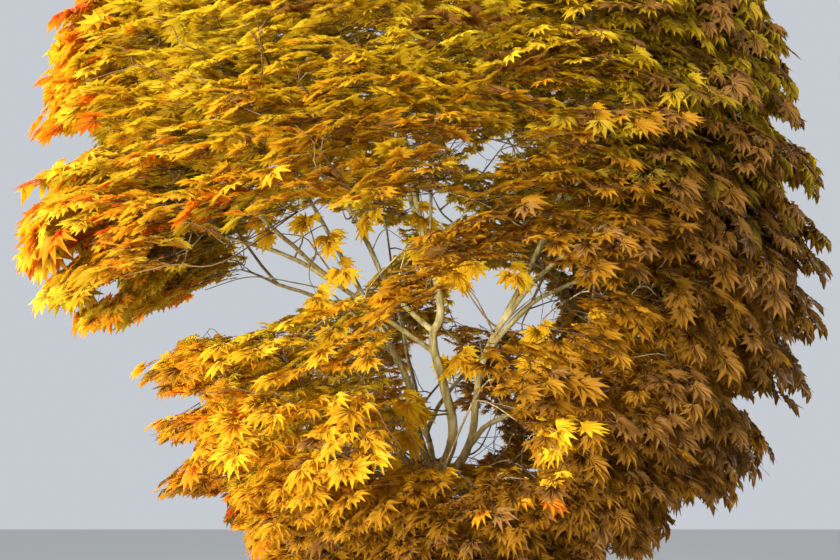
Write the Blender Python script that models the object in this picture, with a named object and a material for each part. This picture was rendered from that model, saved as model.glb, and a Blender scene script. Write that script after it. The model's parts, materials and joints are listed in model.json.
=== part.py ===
"""Full moon maple in autumn leaf, rooted in the ground: a short leaning trunk with a root flare, bare boughs
that spread from one fork, and masses of large leaves on twigs that make a round crown with an open window.
Metres, +Z up, origin at the middle of the flat cut under the trunk, the crown's open window towards -Y."""

import math
import random
from collections import namedtuple

import bmesh
import bpy
from mathutils import Matrix, Vector
from mathutils.bvhtree import BVHTree

UP = Vector((0, 0, 1))

# Driving sizes of the crown: a dome of revolution with a square shoulder and a rounded hem.
CROWN_TOP = 4.33
CROWN_WIDEST = 2.10
CROWN_HEM = 0.68
CROWN_REACH = 1.73
SHOULDER = 2.5
BELLY = 2.3

# Driving sizes of the trunk: its centre line, its taper, the flare at its foot and its domed crest, which is
# how far each ring rises and its share of the radius.
TRUNK_LINE = ((0, 0, -0.05), (0, 0, 0), (0.012, 0.006, 0.42), (0.058, 0.004, 0.88), (0.070, 0, 1.205))
TRUNK_FOOT_RADIUS = 0.066
TRUNK_TOP_RADIUS = 0.043
FLARE_RADIUS = 0.030
FLARE_HEIGHT = 0.085
TRUNK_CREST = ((0.022, 0.78), (0.036, 0.36))
TRUNK_SPACING = 0.14
TRUNK_SIDES = 12

# Ridges run down the flare into the ground: how far out, how high and how thick at each point.
ROOTS = 6
FIRST_ROOT = 25
ROOT_SIDES = 6
ROOT_SPREAD = 0.175
ROOT_RIDGE = ((0.020, 0.200, 0.020), (0.055, 0.095, 0.030), (0.105, 0.030, 0.030))
ROOT_DEPTH = 0.030

# Limbs meet face to face with this gap, and twigs and leaves keep further away from them.
GAP = 0.0003
LIMB_CLEARANCE = 0.012
SPACE_CLEARANCE = 0.004

# A bough tapers to its tip, and leaves its parent between the parent's way and its own.
BOUGH_TIP_RADIUS = 0.0085
BOUGH_TAPER = 0.85
LARGEST_SHARE = 0.92
THICK_BOUGH = 0.015
BOUGH_SPACING = 0.20
WITH_PARENT = 0.17
WITH_REACH = 0.285
NEAR_FOOT = 0.09

# A mass of foliage is a pad, longer across than it is high, that droops away from the trunk.
PAD_OUT = 0.70
PAD_ACROSS = 0.84
PAD_UP = 0.58
PAD_DROOP = 0.25
BOUGH_STOPS_SHORT = 0.34

# Each leaf of the solid stands for a spray of real leaves. Its outline is for a leaf 1 m long.
LEAF_OUTLINE = ((0.55, -0.12), (0.29, 0.20), (0.0, 0.68), (-0.29, 0.20), (-0.55, -0.12))
LEAF_LENGTH = 0.38
LEAF_THICKNESS = 0.0070
LEAF_SIZES = (1.10, 1.0, 0.88, 0.76)
LEAF_DIPS = (22, 50)
DIP_SPREAD = 12
YAW_SPREAD = 40
ROLL_SPREAD = 28
LEAVES_PER_MASS = 15
CHOICES_PER_LEAF = 8
TRIES_PER_LEAF = 240
FAVOUR_OUTSIDE = 0.6
LIGHT = Vector((-0.25, -0.60, 1.0)).normalized()

# Twigs fork from buds part way along other twigs, and thicken with the number of leaves that they bear.
TWIG_TIP_RADIUS = 0.0027
TWIG_GROWTH = 0.40
FORK_RADIUS_SHARE = 0.45
TWIG_SIDES = 3
STEM_RUN = 0.07
SPUR = 0.10
ARCH = 0.10
LONGEST_STRAIGHT = 0.45
LONGEST_STRETCH = 0.60
STRAIGHT_ENOUGH = 0.25
STRAIGHT_CHOICES = 16
BENT_CHOICES = 8
BUDS = (0.35, 0.55, 0.75)
FAVOUR_NEAR_STEM = 0.45

# Tiers of the crown: how far from the trunk's line and how high their masses have their middle, and the
# radius of a bough at its foot.
Tier = namedtuple("Tier", "out height foot_radius")
TIERS = {
    "top": Tier(0.50, 3.80, 0.0120),
    "upper": Tier(1.05, 3.05, 0.0135),
    "mid": Tier(1.22, 2.34, 0.0128),
    "low": Tier(1.10, 1.58, 0.0125),
    "skirt": Tier(0.82, 1.02, 0.0120),
}

# The masses of foliage, each on a bough of its own: its tier and side, its compass angle, the limb that its
# bough leaves and how far along that limb.
Mass = namedtuple("Mass", "name tier azimuth parent share")
MASSES = [
    Mass(f"{tier}_{side}", TIERS[tier], azimuth, parent, share)
    for tier, side, azimuth, parent, share in (
        ("top", "left", 160, "trunk", 0.955),
        ("upper", "right", 12, "trunk", 0.945),
        ("low", "right", 352, "bough_upper_right", 0.12),
        ("upper", "back_left", 140, "trunk", 0.965),
        ("low", "left", 196, "trunk", 0.93),
        ("skirt", "left", 208, "trunk", 0.90),
        ("skirt", "front", 270, "trunk", 0.87),
        ("skirt", "right", 332, "trunk", 0.915),
        ("skirt", "back_right", 40, "trunk", 0.88),
        ("low", "back", 96, "trunk", 0.95),
        ("skirt", "back_left", 125, "trunk", 0.90),
        ("mid", "left", 188, "bough_top_left", 0.25),
        ("upper", "left", 202, "bough_top_left", 0.29),
        ("low", "front_left", 238, "bough_low_left", 0.30),
        ("mid", "front_left", 226, "bough_mid_left", 0.34),
        ("mid", "back_left", 144, "bough_upper_back_left", 0.34),
        ("low", "back_left", 148, "bough_upper_back_left", 0.12),
        ("mid", "right", 2, "bough_upper_right", 0.36),
        ("mid", "front_right", 320, "bough_upper_right", 0.42),
        ("upper", "front_right", 320, "bough_upper_right", 0.58),
        ("low", "front_right", 314, "bough_low_right", 0.30),
        ("low", "back_right", 42, "bough_low_right", 0.22),
        ("mid", "back", 98, "bough_low_back", 0.30),
        ("mid", "back_right", 50, "bough_low_back", 0.42),
        ("upper", "front", 262, "bough_top_left", 0.46),
        ("mid", "front", 273, "bough_upper_front", 0.25),
        ("upper", "back", 76, "bough_top_left", 0.52),
        ("top", "front", 280, "bough_top_left", 0.62),
        ("top", "right", 40, "bough_top_left", 0.70),
    )
]

# The boughs that spread from the fork are stouter, and the crown is drawn in at its lower left.
STOUT = {
    "top_left": 0.0240,
    "upper_right": 0.0190,
    "upper_back_left": 0.0185,
    "low_left": 0.0160,
    "low_back": 0.0160,
}
DRAWN_IN = {"low_left": 0.84, "skirt_left": 0.88, "low_front_left": 0.93, "skirt_back_left": 0.95}

# The bends of the stems that show in the crown's window, between their foot and their tip.
STEM_BENDS = {
    "top_left": ((0.145, 0.02, 1.40), (0.060, 0.03, 1.79), (0.070, 0.06, 2.10)),
    "upper_right": ((0.215, -0.01, 1.33), (0.283, 0.02, 1.70), (0.470, 0.06, 2.06)),
    "low_right": ((0.350, -0.04, 1.44),),
    "upper_back_left": ((-0.012, 0.05, 1.40), (-0.085, 0.12, 1.68)),
    "low_left": ((-0.090, -0.04, 1.30), (-0.200, -0.08, 1.50)),
    "skirt_left": ((-0.270, -0.12, 1.265),),
    "mid_left": ((-0.280, -0.06, 1.97), (-0.560, -0.12, 2.14)),
    "upper_left": ((-0.130, -0.02, 2.02), (-0.350, -0.08, 2.42)),
}

# Windows through the crown, seen from the eye: middle and half size on the upright plane of the trunk, and
# how much each narrows behind the trunk.
EYE = Vector((0, -4.40, 1.11))
Window = namedtuple("Window", "x z half_width half_height behind")
WINDOWS = (
    Window(-0.16, 2.20, 0.46, 0.22, 0.75),
    Window(-0.74, 1.95, 0.50, 0.10, 0.80),
    Window(0.42, 2.00, 0.28, 0.20, 0.60),
    Window(0.14, 1.52, 0.30, 0.27, 0.55),
    Window(0.36, 2.66, 0.15, 0.10, 0.0),
)

# Leaves on the sunny side are gold, and those from here to the right are amber.
BARK_COLOUR = (0.33, 0.31, 0.20, 1.0)
GOLD_COLOUR = (0.78, 0.47, 0.05, 1.0)
AMBER_COLOUR = (0.56, 0.29, 0.07, 1.0)
AMBER_FROM = 0.30


# Scene and materials.
def clear_scene():
    for obj in list(bpy.data.objects):
        bpy.data.objects.remove(obj)


def new_collection(name):
    collection = bpy.data.collections.new(name)
    bpy.context.scene.collection.children.link(collection)
    return collection


def new_material(name, colour, roughness):
    made = bpy.data.materials.new(name)
    made.use_nodes = True
    shader = made.node_tree.nodes["Principled BSDF"]
    shader.inputs["Base Color"].default_value = colour
    shader.inputs["Roughness"].default_value = roughness
    shader.inputs["Metallic"].default_value = 0.0
    return made


# Meshes.
def evaluated_mesh(obj):
    graph = bpy.context.evaluated_depsgraph_get()
    return bpy.data.meshes.new_from_object(obj.evaluated_get(graph))


def tube(name, points, radii, sides, collection, swell=0.0):
    """A mesh tube along the points with a radius at each, its surface moved out by swell."""
    ring = bpy.data.curves.new(name + "_ring", "CURVE")
    ring.splines.new("POLY").points.add(sides - 1)
    ring.splines[0].use_cyclic_u = True
    for i, corner in enumerate(ring.splines[0].points):
        corner.co = (*compass(360 * i / sides).xy, 0, 1)
    profile = bpy.data.objects.new(name + "_ring", ring)
    line = bpy.data.curves.new(name, "CURVE")
    line.dimensions = "3D"
    line.bevel_mode = "OBJECT"
    line.bevel_object = profile
    line.use_fill_caps = True
    spline = line.splines.new("POLY")
    spline.points.add(len(points) - 1)
    for knot, point, radius in zip(spline.points, points, radii):
        knot.co = (*point, 1)
        knot.radius = radius + swell / math.cos(math.pi / sides)
    guide = bpy.data.objects.new(name + "_line", line)
    collection.objects.link(guide)
    mesh = evaluated_mesh(guide)
    bpy.data.objects.remove(guide)
    bpy.data.objects.remove(profile)
    shape = bmesh.new()
    shape.from_mesh(mesh)
    bmesh.ops.remove_doubles(shape, verts=shape.verts, dist=0.00002)
    bmesh.ops.recalc_face_normals(shape, faces=shape.faces)
    shape.to_mesh(mesh)
    shape.free()
    obj = bpy.data.objects.new(name, mesh)
    collection.objects.link(obj)
    return obj


def combine(obj, others, operation, solver="EXACT"):
    """Applies one Boolean between the object and a collection, whose objects are then removed."""
    modifier = obj.modifiers.new(operation.title(), "BOOLEAN")
    modifier.operation = operation
    modifier.solver = solver
    modifier.operand_type = "COLLECTION"
    modifier.collection = others
    mesh = evaluated_mesh(obj)
    obj.modifiers.remove(modifier)
    obj.data = mesh
    for other in list(others.objects):
        bpy.data.objects.remove(other)


def keep_largest_shell(obj):
    """Drops loose scraps and the walls of sealed hollows: each is a shell of its own in the mesh."""
    shape = bmesh.new()
    shape.from_mesh(obj.data)
    seen, shells = set(), []
    for start in shape.verts:
        if start in seen:
            continue
        seen.add(start)
        shell = [start]
        for vert in shell:
            for edge in vert.link_edges:
                other = edge.other_vert(vert)
                if other not in seen:
                    seen.add(other)
                    shell.append(other)
        shells.append(shell)
    for shell in sorted(shells, key=len)[:-1]:
        bmesh.ops.delete(shape, geom=shell, context="VERTS")
    shape.to_mesh(obj.data)
    shape.free()


# Limbs.
def compass(azimuth):
    angle = math.radians(azimuth)
    return Vector((math.cos(angle), math.sin(angle), 0))


def through(points, spacing):
    """Points about spacing apart on one smooth curve through the given points."""
    ends = [points[0] * 2 - points[1], *points, points[-1] * 2 - points[-2]]
    path = []
    for a, b, c, d in zip(ends, ends[1:], ends[2:], ends[3:]):
        steps = max(1, round((c - b).length / spacing))
        for t in (step / steps for step in range(steps)):
            bend = (a * 2 - b * 5 + c * 4 - d) * t**2 + (b * 3 - a - c * 3 + d) * t**3
            path.append((b * 2 + (c - a) * t + bend) * 0.5)
    return [*path, points[-1].copy()]


class Limb:
    """A tapering limb: its centre line, the radius at each of its points and its number of sides."""

    def __init__(self, name, points, radii, sides):
        self.name, self.points, self.radii, self.sides = name, points, radii, sides

    def at(self, share):
        """The place, direction and radius at this share of the way from foot to tip."""
        lengths = [(b - a).length for a, b in zip(self.points, self.points[1:])]
        left = share * sum(lengths)
        i = 0
        while left > lengths[i] and i < len(lengths) - 1:
            left -= lengths[i]
            i += 1
        t = min(1.0, left / lengths[i])
        a, b = self.points[i], self.points[i + 1]
        return a.lerp(b, t), (b - a).normalized(), self.radii[i] * (1 - t) + self.radii[i + 1] * t

    def mesh(self, collection, swell=0.0):
        return tube(self.name, self.points, self.radii, self.sides, collection, swell)


def trunk_limb():
    points = through([Vector(point) for point in TRUNK_LINE], TRUNK_SPACING)
    fork = points[-1].z
    radii = []
    for point in points:
        share = point.z / fork
        plain = TRUNK_FOOT_RADIUS * (1 - share) + TRUNK_TOP_RADIUS * share
        radii.append(plain + FLARE_RADIUS * math.exp(-max(0, point.z) / FLARE_HEIGHT))
    crest = points[-1]
    for rise, share in TRUNK_CREST:
        points.append(crest + UP * rise)
        radii.append(TRUNK_TOP_RADIUS * share)
    return Limb("trunk", points, radii, TRUNK_SIDES)


def make_trunk(limb, parts, cutters):
    trunk = limb.mesh(parts)
    for root in range(ROOTS):
        way = compass(FIRST_ROOT + root * 360 / ROOTS + 14 * math.sin(root * 2.1))
        ridge = [way * out + UP * rise for out, rise, _ in ROOT_RIDGE]
        ridge.append(way * ROOT_SPREAD * (1 + 0.16 * math.sin(root * 1.7)) - UP * ROOT_DEPTH)
        radii = [radius for _, _, radius in ROOT_RIDGE]
        tube(f"root_{root}", ridge, [*radii, radii[0]], ROOT_SIDES, cutters)
    combine(trunk, cutters, "UNION")
    shape = bmesh.new()
    bmesh.ops.create_cube(shape, size=1)
    bmesh.ops.translate(shape, verts=shape.verts, vec=(0, 0, -0.5))
    ground = bpy.data.meshes.new("ground_cut")
    shape.to_mesh(ground)
    shape.free()
    cutters.objects.link(bpy.data.objects.new("ground_cut", ground))
    combine(trunk, cutters, "DIFFERENCE")
    keep_largest_shell(trunk)
    return trunk


def middle(mass):
    return compass(mass.azimuth) * mass.tier.out + UP * mass.tier.height


def bough_limb(mass, parent):
    """A bough leaves its parent part way along, bends towards its mass and ends where it enters it."""
    start, way, radius = parent.at(mass.share)
    bends = [Vector(bend) for bend in STEM_BENDS.get(mass.name, ())]
    before = bends[-1] if bends else start
    centre = middle(mass)
    tip = centre + (before - centre).normalized() * BOUGH_STOPS_SHORT
    if not bends:
        reach = tip - start
        bends = [start + way * (WITH_PARENT * reach.length) + reach * WITH_REACH]
    points = through([start, *bends, tip], BOUGH_SPACING)
    foot = min(STOUT.get(mass.name, mass.tier.foot_radius), radius * LARGEST_SHARE)
    last = len(points) - 1
    radii = [foot + (BOUGH_TIP_RADIUS - foot) * (i / last) ** BOUGH_TAPER for i in range(last + 1)]
    return Limb("bough_" + mass.name, points, radii, 8 if foot > THICK_BOUGH else 6)


def near_limbs(limb, parent, limbs):
    """The limbs that a bough's foot may touch: its parent and what else grows close by."""
    near = [parent]
    for other in limbs:
        gap = min((p - q).length for p in limb.points[:3] for q in other.points)
        if other is not parent and gap < NEAR_FOOT:
            near.append(other)
    return near


def make_bough(limb, near, parts, cutters):
    bough = limb.mesh(parts)
    for other in near:
        other.mesh(cutters, swell=GAP)
    combine(bough, cutters, "DIFFERENCE")
    keep_largest_shell(bough)
    return bough


# The space that belongs to each mass.
def dome(point, reach=1.0):
    """How near the point is to the crown's dome, 1 on it, and the dome's way out there."""
    level = Vector((point.x, point.y, 0))
    rise = point.z - CROWN_WIDEST
    height, power = (CROWN_TOP - CROWN_WIDEST, SHOULDER) if rise > 0 else (CROWN_WIDEST - CROWN_HEM, BELLY)
    across = level.length / (CROWN_REACH * reach)
    upward = abs(rise) / height
    out = level.normalized() * across ** (power - 1) / CROWN_REACH
    out += UP * math.copysign(upward ** (power - 1) / height, rise)
    return (across**power + upward**power) ** (1 / power), out.normalized()


def in_window(point):
    """Whether the point shows in one of the crown's windows from the eye."""
    sight = point - EYE
    seen = EYE + sight * (-EYE.y / sight.y)
    for window in WINDOWS:
        size = window.behind if point.y > 0 else 1.0
        if size and math.hypot(
            (seen.x - window.x) / (window.half_width * size),
            (seen.z - window.z) / (window.half_height * size),
        ) < 1:
            return True
    return False


class Space:
    """The space of one mass: nearer its middle than any other's, under the crown's dome and round its pad."""

    def __init__(self, mass):
        self.reach = DRAWN_IN.get(mass.name, 1.0)
        self.centre = middle(mass)
        self.outward = compass(mass.azimuth)
        self.across = UP.cross(self.outward)
        self.walls = []
        for other in MASSES:
            if other is not mass:
                way = middle(other) - self.centre
                self.walls.append((way.normalized(), way.length / 2 - SPACE_CLEARANCE))

    def holds(self, point):
        offset = point - self.centre
        return dome(point, self.reach)[0] < 1 and all(offset.dot(way) < limit for way, limit in self.walls)

    def random_point(self, rng):
        """A point in the pad."""
        while True:
            out, along, rise = (rng.uniform(-1, 1) for _ in range(3))
            if out**2 + along**2 + rise**2 < 1:
                break
        droop = UP * (PAD_UP * rise - PAD_DROOP * PAD_OUT * out)
        return self.centre + self.outward * (PAD_OUT * out) + self.across * (PAD_ACROSS * along) + droop


# Leaves and twigs.
def leaf_mesh(name):
    """A leaf 1 m long and 1 m thick along +Y: a five-sided cone whose rim is the lobed outline."""
    shape = bmesh.new()
    bmesh.ops.create_cone(shape, segments=5, radius1=1, radius2=0, depth=1, cap_ends=True)
    bmesh.ops.remove_doubles(shape, verts=shape.verts, dist=0.0001)
    rim = sorted((v for v in shape.verts if v.co.z < 0), key=lambda v: math.atan2(v.co.y, v.co.x))
    for vert, corner in zip(rim, sorted(LEAF_OUTLINE, key=lambda c: math.atan2(c[1], c[0]))):
        vert.co.xy = corner
    bmesh.ops.recalc_face_normals(shape, faces=shape.faces)
    mesh = bpy.data.meshes.new(name)
    shape.to_mesh(mesh)
    shape.free()
    return mesh


def turned(way, normal, origin, size, thickness):
    """The matrix that lays a leaf along way, facing normal, at the origin given."""
    side = way.cross(normal).normalized()
    normal = side.cross(way)
    turn = Matrix((side, way, normal)).transposed().to_4x4()
    return Matrix.Translation(origin) @ turn @ Matrix.Diagonal((size, size, thickness, 1))


Leaf = namedtuple("Leaf", "root way normal matrix blade")


def random_leaf(root, rng):
    """A leaf at this root that points outwards and down, more steeply on the sides, and faces the light."""
    outward = Vector((root.x, root.y, 0)).normalized()
    flat, steep = LEAF_DIPS
    sideways = 1 - max(0.0, dome(root)[1].z)
    dip = math.radians(flat + (steep - flat) * sideways + rng.uniform(-DIP_SPREAD, DIP_SPREAD))
    yaw = Matrix.Rotation(math.radians(rng.uniform(-YAW_SPREAD, YAW_SPREAD)), 3, "Z")
    way = (yaw @ outward) * math.cos(dip) - UP * math.sin(dip)
    roll = Matrix.Rotation(math.radians(rng.uniform(-ROLL_SPREAD, ROLL_SPREAD)), 3, way)
    normal = roll @ (LIGHT - way * LIGHT.dot(way)).normalized()
    matrix = turned(way, normal, root, LEAF_LENGTH * rng.choice(LEAF_SIZES), LEAF_THICKNESS)
    corners = [matrix @ Vector((x, y, 0)) for x, y in LEAF_OUTLINE]
    blade = BVHTree.FromPolygons([*corners, root], [(i, (i + 1) % 5, 5) for i in range(5)])
    return Leaf(root, way, normal, matrix, blade)


LEAF_TESTS = [Vector((x, y, 0)) for x, y in LEAF_OUTLINE]
LEAF_TESTS += [(a + b) / 2 for a, b in zip(LEAF_TESTS, LEAF_TESTS[1:])]


def fits(leaf, space, obstacles):
    places = [leaf.matrix @ point for point in LEAF_TESTS]
    if not all(space.holds(place) for place in places) or any(in_window(place) for place in places):
        return False
    return not any(leaf.blade.overlap(obstacle) for obstacle in obstacles)


def spread_leaves(space, limbs, rng):
    """Leaves spread evenly through the space, most near the dome: the best of several that fit, each time."""
    leaves = []
    for _ in range(LEAVES_PER_MASS):
        obstacles = limbs + [other.blade for other in leaves]
        best, best_score, found = None, -1.0, 0
        for _ in range(TRIES_PER_LEAF):
            leaf = random_leaf(space.random_point(rng), rng)
            if not fits(leaf, space, obstacles):
                continue
            near = min(((leaf.root - other.root).length for other in leaves), default=1.0)
            score = near + FAVOUR_OUTSIDE * dome(leaf.root)[0]
            if score > best_score:
                best, best_score = leaf, score
            found += 1
            if found == CHOICES_PER_LEAF:
                break
        if best:
            leaves.append(best)
    return leaves


class Knot:
    """A point of a twig: the stretch that ends there, the knot it follows or forks from, and its leaves."""

    def __init__(self, start, spot, source=None, share=1.0):
        self.start, self.spot, self.source, self.share, self.load = start, spot, source, share, 0
        self.way_back = (spot - start).length + (source.way_back if source else 0.0)

    def radius(self, share=1.0):
        """The radius at this share of the stretch. A fork starts thin enough to stay within its parent."""
        end = TWIG_TIP_RADIUS * max(1, self.load) ** TWIG_GROWTH
        if not self.source:
            start = BOUGH_TIP_RADIUS
        elif self.share < 1:
            start = FORK_RADIUS_SHARE * self.source.radius(self.share)
        else:
            start = self.source.radius()
        return min(start, end) * (1 - share) + end * share


def straight_run(leaf, start):
    """A twig straight from a bud to a leaf's root, or nothing where it doesn't come from under the leaf."""
    reach = leaf.root - start
    under = reach.normalized().dot(leaf.normal)
    return [leaf.root] if under > STRAIGHT_ENOUGH and reach.length < LONGEST_STRAIGHT else []


def bent_run(leaf, start):
    """The points of a twig from a bud to a spur under a leaf and on to its root, arched a little upwards."""
    reach = leaf.root - (leaf.way + leaf.normal).normalized() * SPUR - start
    steps = max(1, math.ceil(reach.length / LONGEST_STRETCH))
    arch = UP * (ARCH * reach.length)
    points = [start + reach * t + arch * (4 * t * (1 - t)) for t in (i / steps for i in range(1, steps + 1))]
    return [*points, leaf.root]


def clear_of(points, obstacles):
    """Whether a line through the points misses the leaves and the swollen limbs."""
    strip = [p for point in points for p in (point, point + UP * 0.001)]
    faces = [(i, i + 2, i + 3, i + 1) for i in range(0, len(strip) - 2, 2)]
    line = BVHTree.FromPolygons(strip, faces)
    return not any(line.overlap(obstacle) for obstacle in obstacles)


def grow(foot, way, leaves, space, limbs):
    """The twigs that bear the leaves: the furthest leaf ends the leader, and each of the rest, from the stem
    outwards, grows from the nearest bud that has a clear line to it."""
    stem = Knot(foot, foot + way * STEM_RUN)
    buds = [(stem, 1.0)]
    twigs, borne = [], []
    order = sorted(leaves, key=lambda leaf: (leaf.root - foot).length)
    for leaf in order[-1:] + order[:-1]:
        obstacles = limbs + [other.blade for other in leaves if other is not leaf]
        choices = []
        for knot, share in buds:
            start = knot.start.lerp(knot.spot, share)
            cost = (start - leaf.root).length + FAVOUR_NEAR_STEM * knot.way_back
            choices.append((cost, knot, share, start))
        choices.sort(key=lambda choice: choice[0])
        tests = [(straight_run, choice) for choice in choices[:STRAIGHT_CHOICES]]
        tests += [(bent_run, choice) for choice in choices[:BENT_CHOICES]]
        for run, (_, knot, share, start) in tests:
            points = run(leaf, start)
            if points and all(map(space.holds, points)) and clear_of([start, *points], obstacles):
                break
        else:
            continue
        buds.remove((knot, share))
        twig = [stem] if knot is stem else []
        for point in points:
            knot = Knot(start, point, knot, share)
            start, share = point, 1.0
            twig.append(knot)
            buds += [(knot, bud) for bud in BUDS]
        twigs.append(twig)
        borne.append(leaf)
        while knot:
            knot.load += 1
            knot = knot.source
    return twigs, borne


def make_mass(mass, bough, limbs, parts, pieces, leaf_shape):
    """A mass as one solid: its stem starts clear of its bough's tip, and its leaves are sunk on its twigs."""
    rng = random.Random(mass.name)
    space = Space(mass)
    tip, way, _ = bough.at(1.0)
    twigs, leaves = grow(tip + way * GAP, way, spread_leaves(space, limbs, rng), space, limbs)
    for number, twig in enumerate(twigs):
        points = [twig[0].start] + [knot.spot for knot in twig]
        radii = [twig[0].radius(0)] + [knot.radius() for knot in twig]
        if number == 0:
            obj = tube(mass.name, points, radii, TWIG_SIDES, parts)
        else:
            tube("twig", points, radii, TWIG_SIDES, pieces)
    for leaf in leaves:
        blade = bpy.data.objects.new("leaf", leaf_shape)
        blade.matrix_world = leaf.matrix
        pieces.objects.link(blade)
    combine(obj, pieces, "UNION", "MANIFOLD")
    keep_largest_shell(obj)
    return obj


def make_limbs(parts, cutters, bark):
    trunk = trunk_limb()
    make_trunk(trunk, parts, cutters).data.materials.append(bark)
    limbs = {trunk.name: trunk}
    for mass in MASSES:
        parent = limbs[mass.parent]
        limb = bough_limb(mass, parent)
        near = near_limbs(limb, parent, limbs.values())
        make_bough(limb, near, parts, cutters).data.materials.append(bark)
        limbs[limb.name] = limb
    return limbs


def swollen_tree(limb, cutters):
    """A search tree of the limb's surface, moved out by what twigs and leaves keep clear of it."""
    swollen = limb.mesh(cutters, swell=LIMB_CLEARANCE)
    shape = bmesh.new()
    shape.from_mesh(swollen.data)
    tree = BVHTree.FromBMesh(shape)
    shape.free()
    bpy.data.objects.remove(swollen)
    return tree


def make_masses(limbs, parts, pieces, gold, amber):
    keep_clear = [swollen_tree(limb, pieces) for limb in limbs.values()]
    leaf_shape = leaf_mesh("leaf")
    for mass in MASSES:
        obj = make_mass(mass, limbs["bough_" + mass.name], keep_clear, parts, pieces, leaf_shape)
        obj.data.materials.append(amber if middle(mass).x > AMBER_FROM else gold)


def main():
    clear_scene()
    parts = new_collection("full_moon_maple")
    cutters = new_collection("cutters")
    limbs = make_limbs(parts, cutters, new_material("bark", BARK_COLOUR, 0.75))
    gold = new_material("gold_leaf", GOLD_COLOUR, 0.55)
    amber = new_material("amber_leaf", AMBER_COLOUR, 0.55)
    make_masses(limbs, parts, cutters, gold, amber)


main()
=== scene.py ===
"""Full moon maple in autumn leaf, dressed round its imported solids: bark in relief on the trunk and boughs,
and a crown of twigs and lobed leaves grown on from the boughs by the same rule as the solids, only finer."""

import json
import math
from collections import namedtuple

import bmesh
import bpy
import numpy as np
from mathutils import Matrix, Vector, noise

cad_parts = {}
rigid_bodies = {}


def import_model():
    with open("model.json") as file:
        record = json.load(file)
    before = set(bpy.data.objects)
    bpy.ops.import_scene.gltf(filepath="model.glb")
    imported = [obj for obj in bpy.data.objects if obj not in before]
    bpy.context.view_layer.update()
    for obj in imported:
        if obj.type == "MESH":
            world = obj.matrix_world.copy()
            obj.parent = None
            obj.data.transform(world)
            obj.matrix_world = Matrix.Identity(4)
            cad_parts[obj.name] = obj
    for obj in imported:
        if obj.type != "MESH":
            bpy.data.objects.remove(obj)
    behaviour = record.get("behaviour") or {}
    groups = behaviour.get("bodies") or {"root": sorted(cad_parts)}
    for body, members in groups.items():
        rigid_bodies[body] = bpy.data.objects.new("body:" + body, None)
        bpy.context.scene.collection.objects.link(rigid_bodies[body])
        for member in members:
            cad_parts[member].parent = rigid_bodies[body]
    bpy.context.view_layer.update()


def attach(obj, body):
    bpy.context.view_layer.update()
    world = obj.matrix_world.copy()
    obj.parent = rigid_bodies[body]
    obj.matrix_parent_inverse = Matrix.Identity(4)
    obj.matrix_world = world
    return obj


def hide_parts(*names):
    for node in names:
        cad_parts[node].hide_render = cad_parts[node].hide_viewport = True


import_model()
bpy.ops.object.select_all(action="DESELECT")
UP = Vector((0, 0, 1))

# The view: the eye stands 1.1 m above the ground and 4.4 m in front of the trunk, and looks up into the
# crown. Broad soft lights with grids stand where the low sun does, to the left and in front of it, over a
# plain pale floor. A small one reaches in under the tiers, and two weak ones light the back.
EYE = Vector((0, -4.4, 1.11))
LOOK_UP = 12.3
FIELD_OF_VIEW = 46
AIM = Vector((0, 0, 2.2))
FLOOR_SIZE = 60
FLOOR_COLOUR = (0.62, 0.61, 0.59, 1)
AIR_COLOUR = (0.62, 0.65, 0.7, 1)
AIR_STRENGTH = 0.92
GRID_SPREAD = 100
SUNNY = (1.0, 0.95, 0.84)
SHADY = (1.0, 0.98, 0.93)

bpy.ops.object.camera_add(location=EYE, rotation=(math.radians(90 + LOOK_UP), 0, 0))
camera = bpy.context.object
camera.name = "camera"
camera.data.sensor_width = 36
camera.data.angle = math.radians(FIELD_OF_VIEW)
bpy.context.scene.camera = camera
bpy.context.scene.view_settings.view_transform = "Standard"

for name, place, size, power, colour in (
    ("key_light", (-8.2, -5.6, 4.4), 5.5, 225, SUNNY),
    ("front_light", (-6.2, -9.8, 2.4), 4.5, 800, SUNNY),
    ("fill_light", (-2.0, -5.6, 0.8), 1.8, 110, SHADY),
    ("rim_light", (-4.5, 6.0, 5.5), 5.0, 180, SUNNY),
    ("back_light", (6.5, 5.5, 4.5), 6.0, 240, SHADY),
):
    bpy.ops.object.light_add(type="AREA", location=place)
    light = bpy.context.object
    light.name = name
    light.rotation_mode = "QUATERNION"
    light.rotation_quaternion = (AIM - Vector(place)).to_track_quat("-Z", "Y")
    light.data.size = size
    light.data.spread = math.radians(GRID_SPREAD)
    light.data.energy = power
    light.data.color = colour

world = bpy.data.worlds.new("studio_air")
world.use_nodes = True
world.node_tree.nodes["Background"].inputs["Color"].default_value = AIR_COLOUR
world.node_tree.nodes["Background"].inputs["Strength"].default_value = AIR_STRENGTH
bpy.context.scene.world = world

bpy.ops.mesh.primitive_plane_add(size=FLOOR_SIZE)
floor = bpy.context.object
floor.name = "floor"


def new_material(name, constants):
    """A material, and its shader with these constants on its sockets."""
    made = bpy.data.materials.new(name)
    made.use_nodes = True
    shader = made.node_tree.nodes["Principled BSDF"]
    for key, value in constants.items():
        shader.inputs[key].default_value = value
    return made, shader


floor_paint, _ = new_material("floor_paint", {"Base Color": FLOOR_COLOUR, "Roughness": 0.8})
floor.data.materials.append(floor_paint)


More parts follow.
